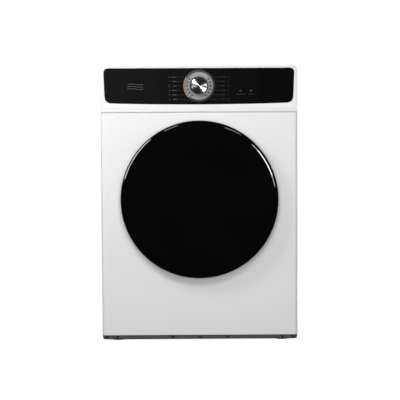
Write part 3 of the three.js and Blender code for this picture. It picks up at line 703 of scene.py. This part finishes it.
def base_strip():
    """Grommets in the drain and air holes along the base strip, and a thin black strip along its foot that
    paints its lower shadow line.
    """
    holes = (-282, -251, -83, 0, 83, 251, 282)
    y = TRAY_LOW.y
    hole_z = 11.6
    outline = rounded([(2.1, y + 1.5), (2.1, y - 0.35, 0.3), (3.7, y - 0.35, 0.4), (3.7, y + 0.05),
                       (2.95, y + 0.05), (2.95, y + 1.5)], 3)
    grommets = merge("strip_grommets", [lathe("grommet", outline, x, hole_z, 24) for x in holes])
    fit(grommets, "cabinet", "black_plastic")
    # painted shadow: a thin black strip stands for the dark shade along the foot of the base strip
    reach, z = 268, TRAY_LOW.z
    line = slab("strip_foot", box_outline(-reach, reach, y - 0.5, y + 0.1, 0.2), z + 0.2, z + 2.6, "z")
    fit(line, "cabinet", "black_plastic")


def foot(node):
    low, high = span(node)
    x, y = (low.x + high.x) / 2, (low.y + high.y) / 2
    corners = [(0, 0), (19.5, 0, 0.8), (22, 1.5, 0.8), (22, 4.2, 0.5), (20.5, 4.7, 0.4), (12, 4.7), (5, 4.7)]
    threads, lead = 14, 2.1
    for k in range(threads):
        z = 5.2 + lead * k
        corners += [(4.2, z), (5, z + 0.9), (5, z + 1.2)]
    corners += [(4.2, 35), (3.4, 36), (0, 36)]
    made = lathe(node + "_pad", rounded(corners, 3), 0, 0, 72)
    upright = Matrix.Rotation(math.radians(90), 4, "X")
    made.data.transform(Matrix.Translation((x * MM, y * MM, 0)) @ upright)
    fit(made, node, "black_plastic", node)


# Console


def fascia_outline(spare, steps=24):
    """The fascia leans in towards its foot, and its lower edge bows down a little."""
    top_x, foot_x, top, foot_z, bow, upper, lower = 287.5, 284, 827, 722, 4, 15, 22

    def curve(a, b, c, count):
        points = []
        for k in range(count + 1):
            t = k / count
            points.append(Vector(a) * (1 - t) ** 2 + Vector(b) * 2 * t * (1 - t) + Vector(c) * t * t)
        return points

    foot_line = foot_z - spare
    side, corner = foot_x + spare, top_x + spare
    end = side - lower
    half = curve((0, foot_line - bow), (end / 2, foot_line - bow), (end, foot_line), steps)
    half += curve((end, foot_line), (side, foot_line), (side + 0.7, foot_line + lower), 10)[1:]
    half += curve((corner, top + spare - upper), (corner, top + spare), (corner - upper, top + spare), 10)
    mirrored = [Vector((-p.x, p.y)) for p in reversed(half)]
    return half + [p for p in mirrored if abs(p.x) > 0.01]


def console_frame():
    """The white moulding round the fascia, with soft edges and a fine step along its foot."""
    y0, back, wall = CONSOLE_LOW.y, CONSOLE_HIGH.y, 3.5
    half, z0, z1 = CONSOLE_HIGH.x, CONSOLE_LOW.z, CONSOLE_HIGH.z
    floor = FASCIA_LOW.y + 3.7
    made = slab("console_moulding", upright_outline(half, z0, z1, TOP_CORNER_R, 2.5, 14), y0, back)
    soften(made, 1.2, 4)
    settle(made)
    pocket = slab("pocket", fascia_outline(0.5), y0 - 1, floor)
    inside = upright_outline(half - wall, z0 + wall, z1 - wall, TOP_CORNER_R - wall, 2)
    hollow = slab("hollow", inside, floor + 3, back + 1)
    spindle = drill(12, floor - 1, floor + 4, 0, DIAL_Z)
    step = block("step", -half - 1, half + 1, y0 - 1, y0 + 0.5, z0 + 6.6, z0 + 7.5)
    carve(made, pocket, hollow, spindle, step)
    fit(soften(made, 0.35, 2), "cabinet", "white_plastic", "console_frame")


def seam_strip():
    """A white gasket that closes the seam between console and front panel."""
    gap = 0.15
    z0, z1 = PANEL_HIGH.z + gap, CONSOLE_LOW.z - gap
    face, back = FRONT + 0.4, FRONT + 20
    outline = rounded([(face, z0, 0.3), (back, z0), (back, z1), (face, z1, 0.3)], 3)
    strip = slab("seam_gasket", outline, -HALF + 4, HALF - 4, "x")
    fit(strip, "cabinet", "white_plastic")


def console_fascia():
    y = FASCIA_LOW.y
    made = slab("fascia_plate", fascia_outline(0), y, FASCIA_HIGH.y)
    carve(made, drill(DIAL_HOLE_R, y - 1, y + 5, 0, DIAL_Z, 96))
    fit(soften(made, 0.6, 3), "cabinet", "black_gloss", "console_fascia")


def dial():
    """Rim, indicator ring with twelve windows, knob and spun cap."""
    rim = rounded([(42.2, -237.3), (48, -237.3), (48, -240.4, 0.8), (43.6, -244.2, 0.7),
                   (42.2, -243.4, 0.4)], 6)
    fit(lathe("dial_bezel", rim, 0, DIAL_Z, 192), "cabinet", "chrome", "dial_rim")
    ring = rounded([(28.2, -241.5, 0.4), (41.9, -241.5, 0.3), (41.9, -233.6), (38.9, -233.6),
                    (38.9, -239), (28.2, -239)], 3)
    made = lathe("dial_ring", ring, 0, DIAL_Z, 192)
    windows, window_r = [], 35.4
    for angle in (36, 18, 0, -18, -36, -54):
        for turn in (math.radians(angle), math.radians(180 - angle)):
            windows.append((window_r * math.cos(turn), DIAL_Z + window_r * math.sin(turn)))
    carve(made, *(drill(2.8, -243, -238, x, z, 24) for x, z in windows))
    fit(made, "cabinet", "satin", "indicator_ring")
    lens = [(0, -240.6), (2.1, -240.5), (2.5, -240.2), (2.5, -239), (0, -239)]
    lenses = merge("dial_lenses", [lathe("lens", lens, x, z, 24) for x, z in windows])
    fit(lenses, "cabinet", "black_gloss", material=WINDOW_DARK)
    knob = rounded([(0, -221), (3, -221), (3, -236), (26.4, -236, 0.4), (27, -237, 0.4), (27, -256.6, 1.2),
                    (25.6, -258.6, 0.7), (24.6, -258.6, 0.3), (24.6, -257.4), (0, -257.4)], 6)
    fit(lathe("knob_body", knob, 0, DIAL_Z, 192), "program_knob", "chrome", "program_knob")
    edge_r, edge_y, crown = 23.2, -259.6, 0.7
    cap = [(0, -257.8), (24.2, -257.8), (24.2, -259.0), (23.9, -259.35), (edge_r, edge_y)]
    cap += [(r, edge_y - crown * (1 - (r / edge_r) ** 2)) for r in (20, 16, 12, 8, 4)]
    cap.append((0, edge_y - crown))
    face = lathe("knob_face", cap, 0, DIAL_Z, 144)
    fit(face, "program_knob", "stainless", "knob_cap", material=SPUN, angle=60)


PRINT_Y = (FASCIA_LOW.y - PRINT_DEPTH, FASCIA_LOW.y + 0.05)


def mark(outline):
    return slab("mark", outline, *PRINT_Y)


def stroke(x0, z0, x1, z1, width):
    """A printed line with round ends."""
    start, end = Vector((x0, z0)), Vector((x1, z1))
    first = math.atan2(end.y - start.y, end.x - start.x)
    outline = []
    for centre, turn in ((end, -90), (start, 90)):
        for k in range(5):
            angle = first + math.radians(turn + 180 * k / 4)
            outline.append(centre + 0.5 * width * Vector((math.cos(angle), math.sin(angle))))
    return mark(outline)


def wave(x, z, length, height, width):
    """Eight linked strokes in a shallow wave."""
    points = [(x + length * k / 8, z + height * math.sin(TAU * k / 8)) for k in range(9)]
    return [stroke(*a, *b, width) for a, b in zip(points, points[1:])]


def ring_mark(x, z, radius, width):
    front, back = PRINT_Y
    inner = radius - width
    return lathe("mark", [(radius, front), (radius, back), (inner, back), (inner, front)], x, z, 24)


def programme_icon(kind, x, z, s=2.1, w=0.55):
    """Six plain symbols: ring, waves, square, triangle, dots and bars."""
    if kind == 0:
        return [ring_mark(x, z, s, w)]
    if kind == 1:
        return wave(x - s, z + 0.9, 2 * s, 0.6, w) + wave(x - s, z - 0.9, 2 * s, 0.6, w)
    if kind in (2, 3):
        tops = [(x + s, z + s), (x - s, z + s)] if kind == 2 else [(x, z + s)]
        corners = [(x - s, z - s), (x + s, z - s), *tops]
        return [stroke(*a, *b, w) for a, b in zip(corners, corners[1:] + corners[:1])]
    if kind == 4:
        return [ring_mark(x + dx, z + dz, 0.9, 0.5) for dx, dz in ((-1.3, -1.1), (1.3, -1.1), (0, 1.2))]
    return [stroke(x - s, z + dz, x + s, z + dz, w) for dz in (-1.6, 0, 1.6)]


def fascia_print():
    """Six programme rows either side of the dial, two touch symbols and three waves at the left."""
    pale, dim = [], []
    icon_x, bar_left, bar_right, leader_x, clear_r = 89, -67.5, 68.5, 65, 50.5
    for i, rise in enumerate((26.4, 13.3, -0.3, -13.6, -27.3, -40.5)):
        z = DIAL_Z + rise
        width = 15 - 2.2 * (i % 3)
        tip = math.sqrt(clear_r ** 2 - rise ** 2) + 0.8
        pale += programme_icon(i, -icon_x, z)
        pale.append(stroke(bar_left - width, z, bar_left, z, 1.5))
        for side in (-1, 1):
            dim.append(stroke(side * leader_x, z, side * tip, z, 0.5))
        dim.append(stroke(bar_right, z, bar_right + 0.8 * width, z, 1.4))
        dim += programme_icon((i + 3) % 6, icon_x, z)
    key_z, bar_z = DIAL_Z - 15.5, DIAL_Z - 25.8
    for x, kind, reach in ((125.5, 0, 12.5), (157, 5, 7.5)):
        pale += programme_icon(kind, x, key_z, 3.2, 0.7)
        dim.append(stroke(x - reach, bar_z, x + reach, bar_z, 1.3))
    for k in range(3):
        pale += wave(-215, DIAL_Z + 5 - 7 * k, 46, 1.6, 1.5)
    fit(merge("print_pale", pale), "cabinet", "satin", material=PRINT_PALE)
    fit(merge("print_dim", dim), "cabinet", "satin", material=PRINT_DIM)


# Door


def dome(radius, rim_y, height, steps=48):
    """A dome, nearly flat in the middle, that turns down into an upright rim."""
    angles = [math.radians(90) * k / steps for k in range(steps + 1)]
    return [(radius * math.sin(a) ** (1 / 3), rim_y - height * math.cos(a)) for a in angles]


def door_cover():
    face, back = COVER_LOW.y, COVER_HIGH.y
    rim_y, wall = -263, 4
    outside = dome(DOOR_R, rim_y, rim_y - face)
    inside = dome(DOOR_R - wall, rim_y + 0.4, 13.4, 16)[::-1]
    outline = outside + [(DOOR_R, back + 0.6), (DOOR_R - 0.6, back), (DOOR_R - wall, back)] + inside
    made = lathe("door_dome", outline, 0, DOOR_Z, 288)
    z0, z1 = DOOR_Z - HINGE_HALF, DOOR_Z + HINGE_HALF
    carve(made, block("notch", -246, -227, -264.6, -250, z0, z1))
    fit(made, "door", "black_gloss", "door_cover", angle=50)


def door_ring():
    inner, back, lip = 205, RING_HIGH.y, -257
    outline = rounded([(inner, back, 0.8), (DOOR_R - 9, back, 2), (DOOR_R, -246, 2), (DOOR_R, lip, 0.3),
                       (DOOR_R - 3, lip), (DOOR_R - 3, -247.2, 1), (DOOR_R - 10, -241, 1),
                       (inner + 3, -241, 0.5), (inner + 3, lip), (inner, lip, 0.3)])
    made = lathe("door_back_ring", outline, 0, DOOR_Z, 240)
    grip = block("grip", 213, 246, -253, -230, DOOR_Z - 42, DOOR_Z + 42)
    turned_about(grip, GRIP_ANGLE, 0, DOOR_Z)
    hinge = block("hinge", -242, -208.2, -259, -230, DOOR_Z - HINGE_HALF, DOOR_Z + HINGE_HALF)
    latch = block("latch", 220.3, 225.7, -243.5, -230, DOOR_Z - 10.5, DOOR_Z + 10.5)
    carve(made, grip, hinge, latch)
    fit(made, "door", "black_plastic", "door_ring")


def door_inside():
    """Inner frame, bowl, seal and their screws, seen when the door is open."""
    ring = rounded([(180.5, -243), (204.6, -243), (204.6, -230, 1.5), (201, -226, 2), (184, -226, 2),
                    (180.5, -230, 1.5)])
    made = lathe("door_trim", ring, 0, DOOR_Z, 200)
    seat_r = 192.5
    turns = [math.radians(30 + 60 * k) for k in range(6)]
    places = [(seat_r * math.cos(a), DOOR_Z + seat_r * math.sin(a)) for a in turns]
    carve(made, *(drill(4.6, -230, -220, x, z, 32) for x, z in places))
    fit(made, "door", "grey_plastic", "door_inner_frame")
    heads = [screw_head(x, -229.9, z, 3.8, 1.8) for x, z in places]
    fit(merge("door_trim_screws", heads), "door", "steel")
    bowl = rounded([(0, -209.6), (118, -209.4, 3), (122, -210.6, 2), (128, -210.6, 2), (132, -209.2, 2),
                    (150, -209, 8), (172, -217, 8), (180, -231, 3), (180, -243.3), (190, -243.3, 0.5),
                    (190, -246, 0.5), (177, -246), (177, -232, 4), (170, -219.5, 6), (149.4, -212, 6),
                    (0, -212.4)])
    fit(lathe("door_bowl_shell", bowl, 0, DOOR_Z, 200), "door", "grey_plastic", "door_bowl")
    lip = rounded([(208.2, -237.7), (218.8, -237.7), (218.8, -236.4, 0.8), (216, -235.4, 0.6),
                   (214.4, -236.3, 0.5), (212.6, -236.3, 0.5), (211, -235.4, 0.6), (208.2, -236.4, 0.8)])
    fit(lathe("door_lip_seal", lip, 0, DOOR_Z, 200), "door", "rubber", "door_seal")


def door_well():
    """The funnel between the front panel and the drum, with a drip channel and the filter's slot."""
    y0, y1, wall, channel = WELL_LOW.y, WELL_HIGH.y, 3, WELL_R + 0.8
    outline = rounded([(FUNNEL_R, y0, 0.8), (FUNNEL_R + wall, y0, 0.8), (FUNNEL_R + wall, -220, 1),
                       (WELL_R + wall, -213, 2), (WELL_R + wall, y1), (WELL_R, y1, 1),
                       (WELL_R, -206, 0.5), (channel, -207.5, 0.4), (channel, -210, 0.4),
                       (WELL_R, -211.4, 0.5), (WELL_R, -214.5, 3), (FUNNEL_R, -222, 3)])
    made = lathe("door_well_funnel", outline, 0, DOOR_Z, 240)
    low, high = span("lint_filter")
    gap = 1.2
    slot = block("slot", low.x - gap, high.x + gap, low.y - gap, high.y + gap, DOOR_Z - 220, DOOR_Z - 95)
    carve(made, slot)
    fit(made, "cabinet", "grey_plastic", "door_well")


# Drum


def drum_shell():
    """Rolled sheet with shallow swages and a turned-in front edge."""
    y0, y1, wall, mouth = SHELL_LOW.y, SHELL_HIGH.y, SHEET, 258
    outside = [(DRUM_R, y0, 3)]
    for y in (-95, 10, 115):
        for a, depth in ((-9, 0), (-5, 1.8), (5, 1.8), (9, 0)):
            outside.append((DRUM_R - depth, y + a, 3))
    outside.append((DRUM_R, y1))
    inside = [(r - wall, y, 3) for r, y, *_ in outside[1:-1]][::-1]
    corners = [(mouth, y0, 0.4), *outside, (DRUM_R - wall, y1), *inside, (DRUM_R - wall, y0 + wall, 2),
               (mouth, y0 + wall, 0.4)]
    made = lathe("drum_sheet", rounded(corners, 4), 0, DRUM_Z, 240)
    fit(made, "drum", "stainless", "drum_shell")


def air_screen(cells_reach, pitch, hole, plate, x=0.0, z=0.0):
    """Flat hexagonal cells with six-sided holes, wherever plate(x, z) is true."""
    bm = bmesh.new()
    step = pitch * math.sqrt(3) / 2
    count = int(cells_reach / step) + 2

    def hexagon(cx, cz, reach):
        return [bm.verts.new(((x + cx + reach * math.sin(k * TAU / 6)) * MM, 0,
                              (z + cz + reach * math.cos(k * TAU / 6)) * MM)) for k in range(6)]

    for row in range(-count, count + 1):
        for column in range(-count, count + 1):
            cx, cz = (column + 0.5 * (row % 2)) * pitch, row * step
            if plate(cx, cz):
                bridge(bm, hexagon(cx, cz, pitch / math.sqrt(3)), hexagon(cx, cz, hole))
    bmesh.ops.remove_doubles(bm, verts=bm.verts, dist=0.05 * MM)
    return as_object("screen", bm)


def drum_rear_wall():
    """Pressed end plate with a perforated air ring."""
    low, high = span("drum_rear_wall")
    y, wall, edge = low.y, 1.5, 211.5
    rim, step = high.z - DRUM_Z, y + 1.2
    hub = [(0, y), (64, y, 4), (72, y + 1, 4), (98, y + 1, 4), (104, y, 3), (108, step, 2), (113, step),
           (113, step + wall), (107, step + wall, 2), (76, y + 1 + wall, 2), (70, y + 1.3, 2), (0, y + 1.3)]
    inner = lathe("rear_wall_hub", rounded(hub), 0, DRUM_Z, 200)
    field = [(167, step), (172, step, 2), (176, y, 3), (240, y, 4), (246, y + 1.6, 4), (262, y + 1.6, 4),
             (268, y, 4), (rim, y, 2.5), (rim, edge), (rim - wall, edge), (rim - wall, y + wall, 1.5),
             (176, y + wall), (167, step + wall)]
    outer = lathe("rear_wall_rim", rounded(field), 0, DRUM_Z, 200)
    screen = air_screen(172, 7.0, 2.1, lambda a, b: 110.5 < math.hypot(a, b) < 169.5, 0, DRUM_Z)
    screen.data.transform(Matrix.Translation((0, (y + 1.4) * MM, 0)))
    thicken(screen, 0.8, 0)
    made = merge("drum_end_plate", [inner, outer, screen])
    fit(made, "drum", "stainless", "drum_rear_wall", material=DRUM_END)


def lifter(number):
    """A lifter vane, softly rounded and tapered at its ends."""
    node = f"lifter_{number}"
    angle = 120 * number - 60
    profile = rounded([(-34, 0, 1), (-23, 28, 14), (-10, 56, 8), (10, 56, 8), (23, 28, 14), (34, 0, 1)], 6)
    y0, y1 = (corner.y for corner in span(node))
    taper = [(0, 0.9), (2, 0.955), (6, 0.985), (12, 1)]
    levels = [(y0 + reach, size) for reach, size in taper]
    levels += [(y1 - reach, size) for reach, size in reversed(taper)]
    rings = [[Vector((a * size, y, b * size)) * MM for a, b in profile] for y, size in levels]
    made = loft(node + "_vane", rings, ends=(0, -1))
    base_r = 277.5
    place = Matrix.Translation(Vector((0, 0, -base_r)) * MM)
    turn = Matrix.Translation((0, 0, DRUM_Z * MM)) @ Matrix.Rotation(math.radians(angle), 4, "Y")
    made.data.transform(turn @ place)
    fit(made, "drum", "grey_plastic", node, angle=40)


def lint_filter():
    """Frame, two meshes and a finger recess."""
    low, high = span("lint_filter")
    middle, edge, half_bar = (low.y + high.y) / 2, 6, 3
    z0, z1 = low.z + edge, high.z - 30
    made = slab("lint_frame", box_outline(low.x, high.x, low.z, high.z, 5), low.y, high.y)
    windows = [(low.x + edge, -half_bar), (half_bar, high.x - edge)]
    tools = [slab("window", box_outline(x0, x1, z0, z1, 3), low.y - 1, high.y + 1) for x0, x1 in windows]
    tools.append(slab("recess", box_outline(-28, 28, high.z - 20, high.z - 6, 5), low.y - 1, low.y + 7))
    carve(made, *tools)
    fit(soften(made, 0.8), "lint_filter", "black_plastic", "lint_filter")
    centre_x, tall = (low.x + edge - half_bar) / 2, (z1 - z0) / 2
    screens = []
    for x in (centre_x, -centre_x):
        screen = air_screen(70, 3.2, 1.0, lambda a, b: abs(a) < 33.5 and abs(b) < tall, x, (z0 + z1) / 2)
        screen.data.transform(Matrix.Translation((0, middle * MM, 0)))
        screens.append(thicken(screen, 0.4, 0))
    fit(merge("lint_mesh", screens), "lint_filter", "steel")


# CAD nodes that keep their own shape


def dress_frame():
    slots = {part["node"]: part["material_slot"] for part in frame["record"]["subparts"]}
    for name, node in NODES.items():
        node.data.materials.clear()
        node.data.materials.append(TRAY_STEEL if name == "base_tray" else MATERIALS[slots[name]])


# Floor, light and camera


def floor():
    bm = bmesh.new()
    bmesh.ops.create_circle(bm, cap_ends=True, radius=1.9, segments=128)
    made = as_object("studio_floor", bm)
    pale = new_material("studio_floor", (0.9, 0.9, 0.9), 0.9)
    bump(pale, noise(pale, 40, 3), 0.2, 0.05)
    shader_of(pale).inputs["Emission Color"].default_value = (1, 1, 1, 1)
    shader_of(pale).inputs["Emission Strength"].default_value = 0.85
    made.data.materials.append(pale)
    made.visible_glossy = made.visible_diffuse = False


def world():
    made = bpy.data.worlds.new("studio")
    bpy.context.scene.world = made
    made.use_nodes = True
    nodes, links = made.node_tree.nodes, made.node_tree.links
    seen, lit = nodes["Background"], nodes.new("ShaderNodeBackground")
    seen.inputs["Color"].default_value = (1, 1, 1, 1)
    seen.inputs["Strength"].default_value = 1.05
    lit.inputs["Color"].default_value = (0.95, 0.975, 1, 1)
    lit.inputs["Strength"].default_value = 0.02
    path, mix = nodes.new("ShaderNodeLightPath"), nodes.new("ShaderNodeMixShader")
    links.new(path.outputs["Is Camera Ray"], mix.inputs["Fac"])
    links.new(lit.outputs["Background"], mix.inputs[1])
    links.new(seen.outputs["Background"], mix.inputs[2])
    links.new(mix.outputs["Shader"], nodes["World Output"].inputs["Surface"])


def softbox(name, place, target, width, height, power, colour=(1, 1, 1), mirrored=True):
    """A rectangular lamp in metres and watts. One that isn't mirrored leaves no glint in gloss."""
    data = bpy.data.lights.new(name, "AREA")
    data.shape, data.size, data.size_y = "RECTANGLE", width, height
    data.energy, data.color = power, colour
    made = in_scene(name, data)
    made.location = place
    made.rotation_euler = (Vector(target) - Vector(place)).to_track_quat("-Z", "Y").to_euler()
    made.visible_camera, made.visible_glossy = False, mirrored
    return made


def strip_light(name, start, end, width, target, power, colour=(1, 1, 1)):
    """A narrow lamp from start to end that faces the target and is seen only as a glint."""
    start, end = Vector(start), Vector(end)
    middle, along = (start + end) / 2, (end - start).normalized()
    away = middle - Vector(target)
    away = (away - away.dot(along) * along).normalized()
    made = softbox(name, middle, target, width, (end - start).length, power, colour)
    made.rotation_euler = Matrix((along.cross(away), along, away)).transposed().to_euler()
    made.visible_diffuse = False
    return made


def only_on(lamp, piece):
    """Links a lamp to the one piece that it lights."""
    lit = bpy.data.collections.new(lamp.name + "_lit")
    lit.objects.link(bpy.data.objects[piece])
    lamp.light_linking.receiver_collection = lit


def lights():
    middle, door, knob = (0, -0.2, 0.45), (0, -0.28, DOOR_Z * MM), (0, -0.25, DIAL_Z * MM)
    for name, place, target, width, height, power in (
            ("front_high", (0, -3.0, 2.4), middle, 2.0, 1.0, 39.5),
            ("front_low", (0, -3.0, 0.5), middle, 2.0, 0.8, 36),
            ("near_left", (-1.1, -1.0, 1.5), (-0.3, -0.2, 0.8), 0.5, 0.5, 10.5),
            ("far_left", (-2.6, -1.0, 1.2), middle, 1.2, 1.4, 9),
            ("far_right", (2.6, -0.8, 1.2), middle, 1.2, 1.4, 15),
            ("overhead", (0, 0.6, 3.0), (0, 0.4, 0.4), 2.4, 2.4, 15),
            ("behind_left", (-2.4, 2.2, 1.6), (0, 0, 0.45), 1.2, 1.6, 40),
            ("behind_right", (2.4, 2.2, 1.6), (0, 0, 0.45), 1.2, 1.6, 40)):
        softbox(name, place, target, width, height, power, mirrored=False)
    only_on(softbox("behind", (0, 3.4, 1.5), (0, 0.26, 0.4), 1.8, 1.4, 40), "rear_sheet")
    # glints along the door's shoulder, and bright fans on the spun cap
    for name, start, end, width, target, power, piece in (
            ("arc_right", (1.327, -1.285, 0.570), (0.933, -1.352, 1.292), 0.2, door, 3.2, "door_dome"),
            ("arc_right_core", (1.286, -1.294, 0.752), (1.026, -1.346, 1.189), 0.2, door, 5, "door_dome"),
            ("arc_right_end", (0.798, -1.195, 1.597), (0.468, -1.370, 1.591), 0.12, door, 0.7, "door_dome"),
            ("arc_left", (-1.007, -1.009, 1.595), (-1.485, -1.035, 0.767), 0.14, door, 11, "door_dome"),
            ("arc_left_end", (-0.405, -1.189, 1.790), (-0.673, -1.185, 1.682), 0.1, door, 0.8, "door_dome"),
            ("spoke_bright", (-0.82, -0.85, 1.42), (-0.74, -0.85, 1.52), 0.1, knob, 28, "knob_face"),
            ("spoke_low", (0.95, -0.85, 0.35), (0.88, -0.85, 0.22), 0.1, knob, 11, "knob_face"),
            ("spoke_side", (1.05, -0.85, 0.8), (1.02, -0.85, 1.05), 0.1, knob, 7, "knob_face")):
        only_on(strip_light(name, start, end, width, target, power), piece)
    start, end, amber = (-1.15, -0.5, 1.52), (-0.44, -0.41, 0.02), (1.0, 0.6, 0.33)
    only_on(strip_light("warm_strip", start, end, 0.18, knob, 2.2, amber), "dial_bezel")
    left, height = -1.0, 0.78  # the cards share a left edge, so the fascia fades to the right
    for reach in (0.2, 0.4, 0.6, 0.8, 1.0, 1.2, 1.4, 2.4):
        place = (left + reach / 2, -5.8, height)
        card = softbox("fascia_card", place, (0, 0, height), reach, 0.9, 0.07 * reach)
        only_on(card, "fascia_plate")


def camera():
    data = bpy.data.cameras.new("camera")
    data.lens, data.sensor_width = 165.65, 36
    data.clip_end = 60
    made = in_scene("camera", data)
    place, yaw, pitch, roll = (-0.04224, -5.7987, 0.7781), 0.00788, 0.06272, -0.00488
    turn = Matrix.Rotation(-yaw, 4, "Z") @ Matrix.Rotation(math.pi / 2 - pitch, 4, "X")
    turn = turn @ Matrix.Rotation(roll, 4, "Z")
    made.matrix_world = Matrix.Translation(place) @ turn
    bpy.context.scene.camera = made
    bpy.context.scene.view_settings.view_transform = "Standard"


dress_frame()
front_panel()
side_panel(-1, "side_panel_left")
side_panel(1, "side_panel_right")
worktop()
rear_panel()
terminal_cover()
vent_collar()
cable_inlet()
base_strip()
for place in ("front_left", "front_right", "rear_left", "rear_right"):
    foot("foot_" + place)
console_frame()
seam_strip()
console_fascia()
dial()
fascia_print()
door_cover()
door_ring()
door_inside()
door_well()
drum_shell()
drum_rear_wall()
for index in (1, 2, 3):
    lifter(index)
lint_filter()
floor()
world()
lights()
camera()
